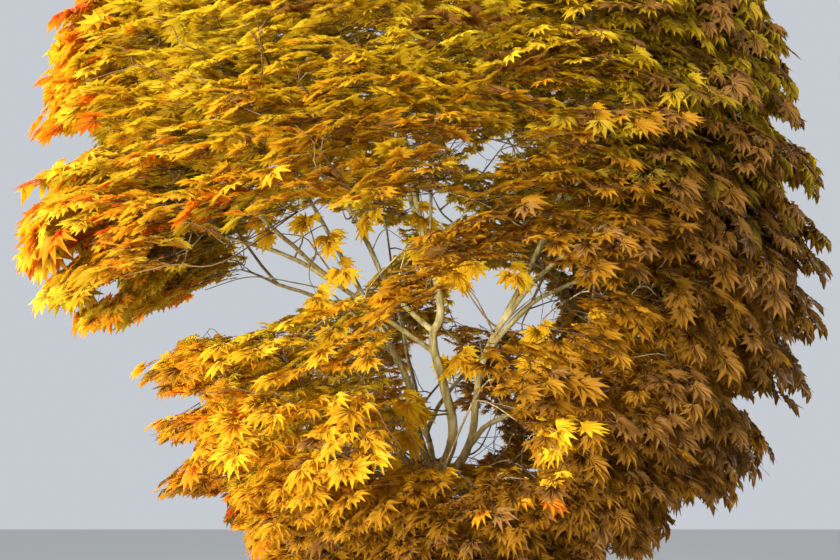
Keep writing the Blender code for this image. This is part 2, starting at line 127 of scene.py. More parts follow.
# The trunk and its boughs: smooth grey-olive bark, finely furrowed along the limb, ringed where old buds
# were and swollen where a bough leaves. All grow as one, from the root flare to where each bough enters its
# foliage. Their lines and tapers are those of the solids, and their skin is carved on them.
TRUNK_LINE = ((0, 0, -0.05), (0, 0, 0), (0.012, 0.006, 0.42), (0.058, 0.004, 0.88), (0.07, 0, 1.205))
TRUNK_FOOT_RADIUS = 0.066
TRUNK_TOP_RADIUS = 0.043
FLARE_RADIUS = 0.03
FLARE_HEIGHT = 0.085
CREST_FROM = 0.03
CREST_TO = 0.04
CREST_SHARE = 0.96
CREST_RADIUS = 0.022
CREST_TAPER = 1.6
ROOTS = 6
FIRST_ROOT = 25
ROOT_TURN = 14
ROOT_SPREAD = 0.175
ROOT_UNEVEN = 0.16
ROOT_RIDGE = ((0.02, 0.2, 0.02), (0.055, 0.095, 0.03), (0.105, 0.03, 0.03))
ROOT_DEPTH = 0.03
BOUGH_TIP_RADIUS = 0.0085
BOUGH_TAPER = 0.85
LARGEST_SHARE = 0.92
WITH_PARENT = 0.17
WITH_REACH = 0.285
BOUGH_STOPS_SHORT = 0.34
COLLAR_SWELL = 0.38
COLLAR_LENGTH = 0.028
RING_SPACING = 0.009
RING_SIDES = ((0.05, 32), (0.017, 24), (0, 16))
FIRST_BUD = 0.06
BUD_SPACING = 0.115
BUD_SWELL = 0.075
BUD_LENGTH = 0.007
TIP_ROUNDING = 0.8
WOBBLE = 0.0035
WOBBLE_LENGTH = 0.11
WOBBLE_SETS_IN = 0.1
WOBBLE_SEED = 1795845173
FURROW_DEPTH = 0.0011
FURROW_WIDTH = 0.01
FURROW_LENGTH = 0.075
FULL_FURROWS = 0.02
LUMP_SHARE = 0.045
LUMP_LENGTH = 0.16
LUMPS_ROUND = 1.3
CREASE = -0.45
SOFTENED_STEPS = 3
SOFTENING = 6

Tier = namedtuple("Tier", "out height foot_radius")
TIERS = {
    "top": Tier(0.5, 3.8, 0.012),
    "upper": Tier(1.05, 3.05, 0.0135),
    "mid": Tier(1.22, 2.34, 0.0128),
    "low": Tier(1.1, 1.58, 0.0125),
    "skirt": Tier(0.82, 1.02, 0.012),
}
Mass = namedtuple("Mass", "name tier azimuth parent share")
MASSES = [
    Mass(name, TIERS[name.split("_")[0]], azimuth, parent, share)
    for name, azimuth, parent, share in (
        ("top_left", 160, "trunk", 0.955),
        ("upper_right", 12, "trunk", 0.945),
        ("low_right", 352, "upper_right", 0.12),
        ("upper_back_left", 140, "trunk", 0.965),
        ("low_left", 196, "trunk", 0.93),
        ("skirt_left", 208, "trunk", 0.9),
        ("skirt_front", 270, "trunk", 0.87),
        ("skirt_right", 332, "trunk", 0.915),
        ("skirt_back_right", 40, "trunk", 0.88),
        ("low_back", 96, "trunk", 0.95),
        ("skirt_back_left", 125, "trunk", 0.9),
        ("mid_left", 188, "top_left", 0.25),
        ("upper_left", 202, "top_left", 0.29),
        ("low_front_left", 238, "low_left", 0.3),
        ("mid_front_left", 226, "mid_left", 0.34),
        ("mid_back_left", 144, "upper_back_left", 0.34),
        ("low_back_left", 148, "upper_back_left", 0.12),
        ("mid_right", 2, "upper_right", 0.36),
        ("mid_front_right", 320, "upper_right", 0.42),
        ("upper_front_right", 320, "upper_right", 0.58),
        ("low_front_right", 314, "low_right", 0.3),
        ("low_back_right", 42, "low_right", 0.22),
        ("mid_back", 98, "low_back", 0.3),
        ("mid_back_right", 50, "low_back", 0.42),
        ("upper_front", 262, "top_left", 0.46),
        ("mid_front", 273, "upper_front", 0.25),
        ("upper_back", 76, "top_left", 0.52),
        ("top_front", 280, "top_left", 0.62),
        ("top_right", 40, "top_left", 0.7),
    )
]
STOUT = {
    "top_left": 0.024,
    "upper_right": 0.019,
    "upper_back_left": 0.0185,
    "low_left": 0.016,
    "low_back": 0.016,
}
STEM_BENDS = {
    "top_left": ((0.145, 0.02, 1.4), (0.06, 0.03, 1.79), (0.07, 0.06, 2.1)),
    "upper_right": ((0.215, -0.01, 1.33), (0.283, 0.02, 1.7), (0.47, 0.06, 2.06)),
    "low_right": ((0.35, -0.04, 1.44),),
    "upper_back_left": ((-0.012, 0.05, 1.4), (-0.085, 0.12, 1.68)),
    "low_left": ((-0.09, -0.04, 1.3), (-0.2, -0.08, 1.5)),
    "skirt_left": ((-0.27, -0.12, 1.265),),
    "mid_left": ((-0.28, -0.06, 1.97), (-0.56, -0.12, 2.14)),
    "upper_left": ((-0.13, -0.02, 2.02), (-0.35, -0.08, 2.42)),
}


def compass(azimuth):
    angle = math.radians(azimuth)
    return Vector((math.cos(angle), math.sin(angle), 0))


def middle(mass):
    return compass(mass.azimuth) * mass.tier.out + UP * mass.tier.height


def through(points, spacing):
    """Points about spacing apart on one smooth curve through the given points."""
    ends = [points[0] * 2 - points[1], *points, points[-1] * 2 - points[-2]]
    path = []
    for a, b, c, d in zip(ends, ends[1:], ends[2:], ends[3:]):
        steps = max(1, round((c - b).length / spacing))
        for t in (step / steps for step in range(steps)):
            bend = (a * 2 - b * 5 + c * 4 - d) * t**2 + (b * 3 - a - c * 3 + d) * t**3
            path.append((b * 2 + (c - a) * t + bend) * 0.5)
    return [*path, points[-1].copy()]


class Limb:
    """A limb's centre line in even steps, with how far along it each point is and the plain radius there."""

    def __init__(self, name, line, foot, tip, taper):
        self.name = name
        self.points = np.array(through(line, RING_SPACING))
        self.along = np.concatenate(([0], np.linalg.norm(np.diff(self.points, axis=0), axis=1).cumsum()))
        share = self.along / self.along[-1]
        self.radii = foot + (tip - foot) * share**taper

    def at(self, share):
        """The place, direction and radius at this share of the way from foot to tip."""
        spot = share * self.along[-1]
        i = min(np.searchsorted(self.along, spot), len(self.points) - 2)
        way = Vector(self.points[i + 1] - self.points[i]).normalized()
        return Vector(self.points[i]), way, float(np.interp(spot, self.along, self.radii))


def bough_limb(mass, parent):
    start, way, radius = parent.at(mass.share)
    bends = [Vector(bend) for bend in STEM_BENDS.get(mass.name, ())]
    before = bends[-1] if bends else start
    centre = middle(mass)
    tip = centre + (before - centre).normalized() * BOUGH_STOPS_SHORT
    if not bends:
        reach = tip - start
        bends = [start + way * (WITH_PARENT * reach.length) + reach * WITH_REACH]
    foot = min(STOUT.get(mass.name, mass.tier.foot_radius), radius * LARGEST_SHARE)
    return Limb(mass.name, [start, *bends, tip], foot, BOUGH_TIP_RADIUS, BOUGH_TAPER)


def sideways(ways):
    """Two directions square to each way, and to each other, turned as little as can be along the line."""
    first = np.cross(ways[0], (0.31, 0.91, 0.17))
    sides = [first / np.linalg.norm(first)]
    for way in ways[1:]:
        side = sides[-1] - way * (sides[-1] @ way)
        sides.append(side / np.linalg.norm(side))
    sides = np.array(sides)
    return sides, np.cross(ways, sides)


def ring_mesh(points, radii, sides, carve=None):
    """The points and triangles of a closed tube of rings round a line. Carve changes each ring's radii."""
    ways = np.gradient(points, axis=0)
    ways /= np.linalg.norm(ways, axis=1, keepdims=True)
    right, up = sideways(ways)
    turn = np.arange(sides) * 2 * math.pi / sides
    reach = np.repeat(radii[:, None], sides, axis=1)
    if carve is not None:
        reach = reach + carve(turn)
    spokes = right[:, None] * np.cos(turn)[None, :, None] + up[:, None] * np.sin(turn)[None, :, None]
    skin = (points[:, None] + spokes * reach[..., None]).reshape(-1, 3)
    rim = np.arange(sides)
    rim_on = np.roll(rim, -1)
    ring = np.arange(len(points) - 1)[:, None] * sides
    one, two = ring + rim, ring + rim_on
    walls = np.stack((one, two, two + sides, one, two + sides, one + sides), axis=-1).reshape(-1, 3)
    last = len(skin) - sides
    low = np.stack((rim_on, rim, np.full(sides, len(skin))), axis=-1)
    high = np.stack((last + rim, last + rim_on, np.full(sides, len(skin) + 1)), axis=-1)
    return np.concatenate((skin, points[:1], points[-1:])), np.concatenate((walls, low, high))


def merged(parts):
    """Many pairs of points and triangles as one pair."""
    starts = np.cumsum([0, *(len(points) for points, _ in parts)])
    triangles = [faces + start for (_, faces), start in zip(parts, starts)]
    return np.concatenate([points for points, _ in parts]), np.concatenate(triangles)


def mesh_object(name, points, triangles):
    mesh = bpy.data.meshes.new(name)
    mesh.vertices.add(len(points))
    mesh.vertices.foreach_set("co", np.asarray(points, np.float32).ravel())
    mesh.loops.add(triangles.size)
    mesh.loops.foreach_set("vertex_index", triangles.astype(np.int32).ravel())
    mesh.polygons.add(len(triangles))
    mesh.polygons.foreach_set("loop_start", np.arange(0, triangles.size, 3, dtype=np.int32))
    mesh.update(calc_edges=True)
    obj = bpy.data.objects.new(name, mesh)
    bpy.context.scene.collection.objects.link(obj)
    return obj


def limb_object(limb, seed):
    """A limb with its collar, bud rings, lumps and furrows carved on, its line a little uneven."""
    sides = next(count for least, count in RING_SIDES if limb.radii[0] > least)
    length = limb.along[-1]
    free = np.minimum(limb.along, length - limb.along) / WOBBLE_SETS_IN
    sway = [noise.noise_vector((seed * 7.3, 0.0, float(far) / WOBBLE_LENGTH)) for far in limb.along]
    points = limb.points + np.array(sway) * (WOBBLE * np.clip(free, 0, 1))[:, None]
    radii = limb.radii.copy()
    if limb.name != "trunk":
        radii *= 1 + COLLAR_SWELL * np.exp(-limb.along / COLLAR_LENGTH)
    for spot in np.arange(FIRST_BUD + 0.03 * math.sin(seed), length, BUD_SPACING):
        radii *= 1 + BUD_SWELL * np.exp(-(((limb.along - spot) / BUD_LENGTH) ** 2))
    radii *= np.sqrt(np.clip((length - limb.along) / (TIP_ROUNDING * limb.radii[-1]), 0.05, 1))

    def carve(turn):
        depth = np.empty((len(limb.points), len(turn)))
        for i, (far, radius) in enumerate(zip(limb.along.tolist(), limb.radii.tolist())):
            furrows, deep = radius / FURROW_WIDTH, min(1, radius / FULL_FURROWS)
            for k, angle in enumerate(turn):
                right, up = math.cos(angle), math.sin(angle)
                fine = noise.noise((right * furrows + seed, up * furrows, far / FURROW_LENGTH))
                lump = noise.noise((right * LUMPS_ROUND, up * LUMPS_ROUND + seed, far / LUMP_LENGTH))
                depth[i, k] = FURROW_DEPTH * fine * deep + LUMP_SHARE * lump * radius
        return depth

    return mesh_object("limb_" + limb.name, *ring_mesh(points, radii, sides, carve))


trunk = Limb("trunk", [Vector(point) for point in TRUNK_LINE], TRUNK_FOOT_RADIUS, TRUNK_TOP_RADIUS, 1)
trunk.radii += FLARE_RADIUS * np.exp(-np.maximum(0, trunk.points[:, 2]) / FLARE_HEIGHT)
limbs = {"trunk": trunk}
for mass in MASSES:
    limbs[mass.name] = bough_limb(mass, limbs[mass.parent])
crest = Vector(trunk.points[-1])
crest_line = [crest - UP * CREST_FROM, crest + UP * CREST_TO]
limbs["crest"] = Limb("crest", crest_line, TRUNK_TOP_RADIUS * CREST_SHARE, CREST_RADIUS, CREST_TAPER)
for root in range(ROOTS):
    way = compass(FIRST_ROOT + root * 360 / ROOTS + ROOT_TURN * math.sin(root * 2.1))
    ridge = [way * out + UP * rise for out, rise, _ in ROOT_RIDGE]
    ridge.append(way * ROOT_SPREAD * (1 + ROOT_UNEVEN * math.sin(root * 1.7)) - UP * ROOT_DEPTH)
    limbs[f"root_{root}"] = Limb(f"root_{root}", ridge, ROOT_RIDGE[1][2] * 0.9, ROOT_RIDGE[0][2], 1)

# Noise that gives a direction starts from the clock unless it has a seed. With this one the limbs'
# unevenness is the same each run.
noise.seed_set(WOBBLE_SEED)
wood = limb_object(trunk, 0)
wood.name = "trunk_and_boughs"
others = bpy.data.collections.new("limbs_to_join")
for seed, limb in enumerate(list(limbs.values())[1:], 1):
    piece = limb_object(limb, seed)
    bpy.context.scene.collection.objects.unlink(piece)
    others.objects.link(piece)
bpy.ops.object.select_all(action="DESELECT")
wood.select_set(True)
bpy.context.view_layer.objects.active = wood
bpy.ops.object.modifier_add(type="BOOLEAN")
union = wood.modifiers[0]
union.operation = "UNION"
union.solver = "MANIFOLD"
union.operand_type = "COLLECTION"
union.collection = others
bpy.ops.object.modifier_apply(modifier=union.name)
for piece in list(others.objects):
    bpy.data.objects.remove(piece)
bpy.ops.object.mode_set(mode="EDIT")
bpy.ops.mesh.select_all(action="SELECT")
bpy.ops.mesh.bisect(plane_co=(0, 0, 0), plane_no=(0, 0, 1), use_fill=True, clear_inner=True)
bpy.ops.object.mode_set(mode="OBJECT")


def soften_forks(obj):
    """Rounds the creases where limbs were joined, by smoothing the skin a little way round each."""
    shape = bmesh.new()
    shape.from_mesh(obj.data)
    creases = [
        edge for edge in shape.edges
        if edge.is_manifold and edge.calc_face_angle_signed(0) < CREASE and edge.verts[0].co.z > 0.01
    ]
    near = {vert for edge in creases for vert in edge.verts}
    for _ in range(SOFTENED_STEPS):
        near |= {edge.other_vert(vert) for vert in near for edge in vert.link_edges}
    near = [vert for vert in near if vert.co.z > 0.004]
    axes = {"use_axis_x": True, "use_axis_y": True, "use_axis_z": True}
    for _ in range(SOFTENING):
        bmesh.ops.smooth_vert(shape, verts=near, factor=0.5, **axes)
    shape.to_mesh(obj.data)
    shape.free()


soften_forks(wood)
bpy.ops.object.shade_smooth_by_angle(angle=math.radians(40))


def add_node(tree, kind, sockets=(), **values):
    """A new node with these values, and with these constants on its sockets."""
    node = tree.nodes.new(kind)
    for key, value in values.items():
        setattr(node, key, value)
    for key, value in dict(sockets).items():
        node.inputs[key].default_value = value
    return node


def link_all(tree, links):
    """Links each node's output to another's input."""
    for source, output, target, socket in links:
        tree.links.new(source.outputs[output], target.inputs[socket])


def bark_group():
    """The skin of young maple bark: streaks along the limb, pale patches, dark flecks, by Object place."""
    group = bpy.data.node_groups.new("bark_skin", "ShaderNodeTree")
    for way, kind, names in (
        ("INPUT", "NodeSocketColor", ("Deep", "Pale", "Patch")),
        ("INPUT", "NodeSocketFloat", ("Streak Scale",)),
        ("OUTPUT", "NodeSocketColor", ("Color",)),
        ("OUTPUT", "NodeSocketFloat", ("Height", "Roughness")),
    ):
        for name in names:
            group.interface.new_socket(name=name, in_out=way, socket_type=kind)
    start = add_node(group, "NodeGroupInput")
    end = add_node(group, "NodeGroupOutput")
    place = add_node(group, "ShaderNodeTexCoord")
    squash = add_node(group, "ShaderNodeMapping", {"Scale": (1, 1, 0.16)})
    streaks = add_node(group, "ShaderNodeTexNoise", {"Detail": 6, "Roughness": 0.62})
    patches = add_node(group, "ShaderNodeTexNoise", {"Scale": 9, "Detail": 4})
    flecks = add_node(group, "ShaderNodeTexVoronoi", {"Scale": 95})
    streak_ramp = add_node(group, "ShaderNodeMapRange", {"From Min": 0.36, "From Max": 0.66})
    patch_ramp = add_node(group, "ShaderNodeMapRange", {"From Min": 0.52, "From Max": 0.7})
    fleck_ramp = add_node(group, "ShaderNodeMapRange", {"From Min": 0.1, "From Max": 0.22, "To Min": 0.62})
    rough = add_node(group, "ShaderNodeMapRange", {"To Min": 0.82, "To Max": 0.58})
    first = add_node(group, "ShaderNodeMix", data_type="RGBA")
    second = add_node(group, "ShaderNodeMix", data_type="RGBA")
    third = add_node(group, "ShaderNodeMix", {"Factor": 1}, data_type="RGBA", blend_type="MULTIPLY")
    link_all(group, (
        (place, "Object", squash, "Vector"),
        (squash, "Vector", streaks, "Vector"),
        (start, "Streak Scale", streaks, "Scale"),
        (place, "Object", patches, "Vector"),
        (place, "Object", flecks, "Vector"),
        (streaks, "Fac", streak_ramp, "Value"),
        (patches, "Fac", patch_ramp, "Value"),
        (flecks, "Distance", fleck_ramp, "Value"),
        (streak_ramp, "Result", first, "Factor"),
        (start, "Deep", first, "A"),
        (start, "Pale", first, "B"),
        (patch_ramp, "Result", second, "Factor"),
        (first, "Result", second, "A"),
        (start, "Patch", second, "B"),
        (second, "Result", third, "A"),
        (fleck_ramp, "Result", third, "B"),
        (third, "Result", end, "Color"),
        (streaks, "Fac", end, "Height"),
        (streaks, "Fac", rough, "Value"),
        (rough, "Result", end, "Roughness"),
    ))
    return group


bark_skin = bark_group()


def bark_material(name, deep, pale, patch, scale, depth):
    made, shader = new_material(name, {"Specular IOR Level": 0.35})
    tree = made.node_tree
    sockets = {"Deep": (*deep, 1), "Pale": (*pale, 1), "Patch": (*patch, 1), "Streak Scale": scale}
    skin = add_node(tree, "ShaderNodeGroup", sockets, node_tree=bark_skin)
    bump = add_node(tree, "ShaderNodeBump", {"Strength": 0.5, "Distance": depth})
    link_all(tree, (
        (skin, "Color", shader, "Base Color"),
        (skin, "Roughness", shader, "Roughness"),
        (skin, "Height", bump, "Height"),
        (bump, "Normal", shader, "Normal"),
    ))
    return made


wood.data.materials.clear()
wood.data.materials.append(
    bark_material("maple_bark", (0.2, 0.145, 0.042), (0.5, 0.405, 0.145), (0.68, 0.61, 0.31), 60, 0.002)
)
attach(wood, "root")
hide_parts("trunk", *("bough_" + mass.name for mass in MASSES))


# The crown's rule: each mass of foliage fills a drooping pad, nearer its own middle than any other's, under
# a dome with a square shoulder, and open where ragged windows let the eye through. In a pad the foliage lies
# in flat fans, one above another in thin drooping plates.
CROWN_TOP = 4.33
CROWN_WIDEST = 2.1
CROWN_HEM = 0.68
CROWN_REACH = 1.73
SHOULDER = 2.5
BELLY = 2.3
SPACE_CLEARANCE = 0.004
PAD_OUT = 0.9
PAD_ACROSS = 1.08
PAD_UP = 0.8
PAD_DROOP = 0.25
DRAWN_IN = {"low_left": 0.84, "skirt_left": 0.88, "low_front_left": 0.93, "skirt_back_left": 0.95}
Window = namedtuple("Window", "x z half_width half_height tilt behind", defaults=(0, 1.0))
FORK_WINDOWS = (
    (-0.46, 2.19, 0.41, 0.265, 0, 0.85), (0.04, 2.41, 0.2, 0.1, 0, 0.75),
    (-0.74, 1.99, 0.44, 0.135, 16), (-1.3, 1.775, 0.42, 0.105, 24), (0.37, 1.97, 0.37, 0.21, 0, 0.72),
    (0.06, 1.62, 0.2, 0.36, 0, 0.55), (0.16, 1.36, 0.32, 0.17, 0, 0.7),
)
SMALL_GAP = (
    (0.3, 2.64, 0.12, 0.065, 20, 0.8), (0.42, 2.71, 0.1, 0.06, -30, 0.8),
    (0.19, 2.72, 0.07, 0.04, 10, 0.8),
)
UNDER_LEFT_WING = (
    (-1.76, 1.34, 0.62, 0.52), (-1.16, 1.48, 0.22, 0.05, 14), (-1.14, 1.265, 0.22, 0.065, 14),
    (-1.08, 1.02, 0.27, 0.085, 14), (-1.3, 1.13, 0.12, 0.12), (-1.146, 0.636, 0.55, 0.42),
)
LEFT_STEPS = (
    (-1.99, 3.11, 0.23, 0.05, 14), (-1.9, 2.9, 0.22, 0.06, 14), (-1.8, 2.67, 0.33, 0.085, 16),
    (-1.88, 2.44, 0.26, 0.06, 16), (-1.64, 2.15, 0.15, 0.04, 30), (-1.86, 1.97, 0.16, 0.1, 20),
    (-1.44, 2.01, 0.14, 0.042, 28), (-1.74, 1.82, 0.18, 0.13, 24),
)
RIGHT_NOTCHES = (
    (1.404, 0.676, 0.553, 0.4), (1.57, 1.47, 0.22, 0.065, -19), (1.79, 1.7, 0.16, 0.06, -28),
    (1.85, 2.02, 0.14, 0.06, -30), (1.78, 2.45, 0.13, 0.05, -34), (1.74, 2.79, 0.12, 0.045, -36),
)
OPENINGS = FORK_WINDOWS + SMALL_GAP + UNDER_LEFT_WING + LEFT_STEPS + RIGHT_NOTCHES
WINDOWS = [Window(*opening) for opening in OPENINGS]
WINDOW_RAGGED = 0.26
RAGS_PER_METRE = 5.5
LEAVES_LEAN_IN = 0.93
LIGHT = np.array((-0.15, -0.14, 1.0)) / math.sqrt(1.0421)
FANS = {"top": 125, "upper": 122, "mid": 92, "low": 58, "skirt": 48}
FULLER = {
    "mid_front": 1.6,
    "mid_front_left": 1.4,
    "mid_front_right": 1.6,
    "upper_front": 1.5,
    "upper_front_right": 1.35,
}
FAN_CHOICES = 16000
FAN_GAP = {"top": 0.1, "upper": 0.097, "mid": 0.094, "low": 0.135, "skirt": 0.14}
FAN_REACH = 0.17
OUTERMOST = 0.95
FAVOUR_OUTSIDE = 1.1
FAVOUR_SPREAD = 0.35
PLATE_SPACING = 0.175
PLATE_RIPPLE = 0.25
PLATE_DROOP = 0.2
SIDE_DROOP = 0.45
PLATE_SHARES = {"top": 1.0, "upper": 1.0, "mid": 0.96, "low": 0.72, "skirt": 0.66}
WING_GAPS = 0.42
FLAT_DIP = 6
LOW_DIP = 10
LEFT_DIP = 29
RIGHT_DIP = 30
DIP_SPREAD = 10
SIDE_PULL = 0.9
FACE_OUT = 0.8
YAW_SPREAD = 32
ROLL_SPREAD = 14


def rising(values, start, width):
    """0 up to the start, and 1 from a width above it."""
    return np.clip((values - start) / width, 0, 1)


def falling(values, start, width):
    """0 down to the start, and 1 from a width below it."""
    return np.clip((start - values) / width, 0, 1)


def dome(points, reach=1.0):
    """How near each point is to the crown's dome, 1 on it."""
    far = np.linalg.norm(points * (1, 1, 0), axis=1)
    rise = points[:, 2] - CROWN_WIDEST
    above = rise > 0
    height = np.where(above, CROWN_TOP - CROWN_WIDEST, CROWN_WIDEST - CROWN_HEM)
    power = np.where(above, SHOULDER, BELLY)
    across = far / (CROWN_REACH * reach)
    upward = np.abs(rise) / height
    return (across**power + upward**power) ** (1 / power)


def in_window(points, share=1.0):
    """Which points the eye sees in one of the crown's ragged windows. At the back a window is smaller."""
    sight = points - np.array(EYE)
    seen = np.array(EYE) + sight * (-EYE.y / sight[:, 1:2])
    ragged = share + WINDOW_RAGGED * np.array([noise.noise(point) for point in seen * RAGS_PER_METRE])
    found = np.zeros(len(points), bool)
    for window in WINDOWS:
        size = np.where(points[:, 1] > 0, window.behind, 1.0) + 1e-9
        tilt = math.radians(window.tilt)
        right, up = seen[:, 0] - window.x, seen[:, 2] - window.z
        across = right * math.cos(tilt) + up * math.sin(tilt)
        upward = up * math.cos(tilt) - right * math.sin(tilt)
        wide, tall = window.half_width * size, window.half_height * size
        found |= np.hypot(across / wide, upward / tall) < ragged
    return found


MIDDLES = np.array([middle(mass) for mass in MASSES])


def holds(points, number):
    """Which points are in the space of the mass of this number."""
    mass = MASSES[number]
    offset = points - MIDDLES[number]
    inside = dome(points, DRAWN_IN.get(mass.name, 1.0)) < OUTERMOST
    for other in range(len(MASSES)):
        if other != number:
            way = MIDDLES[other] - MIDDLES[number]
            far = np.linalg.norm(way)
            inside &= offset @ (way / far) < far / 2 - SPACE_CLEARANCE
    return inside


def beside(points):
    """How far each point is into the crown's sunny left and into its shady right."""
    return falling(points[:, 0], -0.95, 0.35), rising(points[:, 0], 0.25, 0.8)


def hanging(points):
    """How much the foliage hangs: flat sheets in the upper middle, sprays low down and on both sides."""
    left, right = beside(points)
    low = falling(points[:, 2], 1.95, 0.5)
    return np.maximum(np.maximum(0.6 * left, 0.7 * right), 0.52 * low)


def unit(vectors):
    return vectors / np.linalg.norm(vectors, axis=-1, keepdims=True)


def spun(vectors, axes, angles):
    """The vectors turned about unit axes by angles in radians, each by its own."""
    cosine, sine = np.cos(angles)[..., None], np.sin(angles)[..., None]
    along = (vectors * axes).sum(-1, keepdims=True)
    return vectors * cosine + np.cross(axes, vectors) * sine + axes * along * (1 - cosine)


def fan_middles(number, rng):
    """The middles of a mass's fans: spread evenly over its plates, most of them near the dome."""
    mass = MASSES[number]
    tier = mass.name.split("_")[0]
    ball = rng.uniform(-1, 1, (FAN_CHOICES, 3))
    ball = ball[(ball**2).sum(1) < 1]
    outward = np.array(compass(mass.azimuth))
    across = np.cross((0, 0, 1), outward)
    points = MIDDLES[number] + outward * (PAD_OUT * ball[:, :1]) + across * (PAD_ACROSS * ball[:, 1:2])
    points[:, 2] += PAD_UP * ball[:, 2] - PAD_DROOP * PAD_OUT * ball[:, 0]
    points = points[holds(points, number)]
    points = points[~in_window(points)]
    ripple = PLATE_RIPPLE * np.sin(points[:, 0] * 2.3 + 1.1 * number)
    ripple += PLATE_RIPPLE * np.cos(points[:, 1] * 2.9)
    droop = PLATE_DROOP * np.hypot(points[:, 0], points[:, 1])
    droop += SIDE_DROOP * (np.maximum(0, -points[:, 0] - 0.9) + np.maximum(0, points[:, 0] - 0.1))
    plate = (points[:, 2] + droop) / PLATE_SPACING + ripple
    points = points[np.abs(plate % 1 - 0.5) < (PLATE_SHARES[tier] - WING_GAPS * beside(points)[0]) / 2]
    score = FAVOUR_OUTSIDE * dome(points) + rng.uniform(0, FAVOUR_SPREAD, len(points))
    points = points[np.argsort(-score)]
    chosen = []
    for point in points:
        if not chosen or ((np.array(chosen) - point) ** 2).sum(1).min() > FAN_GAP[tier] ** 2:
            chosen.append(point)
            if len(chosen) >= FANS[tier] * FULLER.get(mass.name, 1.0):
                break
    return np.array(chosen)


def fan_ways(middles, rng):
    """Each fan points outwards and down, more steeply on the sides, and faces up and to the light."""
    count = len(middles)
    left, right = beside(middles)
    outward = unit(middles * (1, 1, 0))
    lit = LIGHT + outward * (FACE_OUT * right)[:, None]
    outward = unit(outward + (SIDE_PULL * (right - left))[:, None] * (1.0, 0.0, 0.0))
    dip = FLAT_DIP + LOW_DIP * falling(middles[:, 2], 2.1, 0.8) + LEFT_DIP * left + RIGHT_DIP * right
    dip = np.radians(dip + rng.uniform(-DIP_SPREAD, DIP_SPREAD, count))
    yaw = np.radians(rng.uniform(-YAW_SPREAD, YAW_SPREAD, count))
    ways = spun(outward, np.tile((0.0, 0.0, 1.0), (count, 1)), yaw) * np.cos(dip)[:, None]
    ways[:, 2] -= np.sin(dip)
    faces = unit(lit - ways * (ways * lit).sum(1, keepdims=True))
    return ways, spun(faces, ways, np.radians(rng.uniform(-ROLL_SPREAD, ROLL_SPREAD, count)))


# Twigs: olive to reddish brown, each growing from a bud part way along another, arched, and thicker the
# more fans it bears. Each ends in a flat fan of shoots. Bare ones cross the window and lie on the leaves,
# and short ones hang in the window with a sprig each. Those on the leaves are placed in centimetres here,
# the others in millimetres.
BUDS = (0.3, 0.5, 0.7, 0.88)
FAVOUR_NEAR_STEM = 0.45
TWIG_STEP = 0.06
TWIG_STEPS = (4, 10)
TWIG_LEAD = 0.55
TWIG_REACH = 0.75
TWIG_LIFT = 0.18
TWIG_LEVELS_OUT = 0.7
TWIG_TIP_RADIUS = 0.0022
TWIG_GROWTH = 0.42
TWIG_SIDES = 5
FORK_SHARE = 0.75
FAN_AXIS = 0.285
AXIS_NODES = ((0.62, 44, 0.9), (0.84, 36, 1.05), (1.0, 0, 1.12))
SIDE_SHOOTS = (
    (0.02, 54, 0.165, ((0.42, 40, 0.72), (0.74, 36, 0.85), (1.0, 0, 0.95))),
    (0.105, 47, 0.12, ((0.5, 38, 0.78), (1.0, 0, 0.95))),
)
LEAVES_FOLLOW_FAN = 0.78
FAN_SAGS = (0.45, 1.0)
FAN_SIZES = (0.84, 1.14)
SHOOT_SHARE = 0.75
SHOOT_TIP_RADIUS = 0.0009
SHOOT_SIDES = 3
THIN_TIP = 0.8
BARE_TWIGS = (
    ((-150, -80, 1843), (-326, -120, 1930), (-405, -140, 1989), (-541, -180, 2017), (-736, -220, 2035),
     (-910, -300, 1961)),
    ((-354, -120, 2020), (-460, -150, 2168), (-516, -180, 2224), (-651, -220, 2232)),
    ((-516, -180, 2224), (-554, -180, 2339)),
    ((-460, -150, 2168), (-517, -120, 2356)),
    ((-334, -100, 2329), (-362, -100, 2418)),
    ((-307, -100, 2315), (-249, -100, 2418)),
    ((324, 0, 1839), (302, 0, 1889), (238, -50, 1994), (143, -100, 2066)),
    ((302, 0, 1889), (207, -50, 2026), (208, -50, 2142)),
    ((384, 0, 1875), (430, 0, 1921), (513, 0, 1990)),
    ((106, 0, 1476), (0, -30, 1491), (-96, -60, 1528)),
    ((115, 0, 1463), (-4, -30, 1443), (-87, -50, 1389), (-189, -100, 1331)),
    ((44, 0, 1219), (-87, -50, 1312), (-130, -80, 1366), (-194, -130, 1491), (-246, -150, 1613)),
    ((166, 0, 1219), (219, 0, 1297), (243, 0, 1436)),
    ((210, 0, 1284), (263, 0, 1314), (318, 0, 1423), (355, 0, 1524)),
    ((321, -100, 1259), (365, -100, 1301), (400, -100, 1373)),
    ((376, -100, 1238), (472, -100, 1322)),
    ((141, -200, 2287), (87, -250, 2327), (22, -300, 2457)),
    ((87, -250, 2327), (140, -250, 2373), (166, -250, 2409)),
    ((248, 300, 2592), (401, 300, 2801), (503, 300, 2918)),
)
BARE_TWIG_RADIUS = 0.0052
BARE_TWIG_SEARCH = 0.12
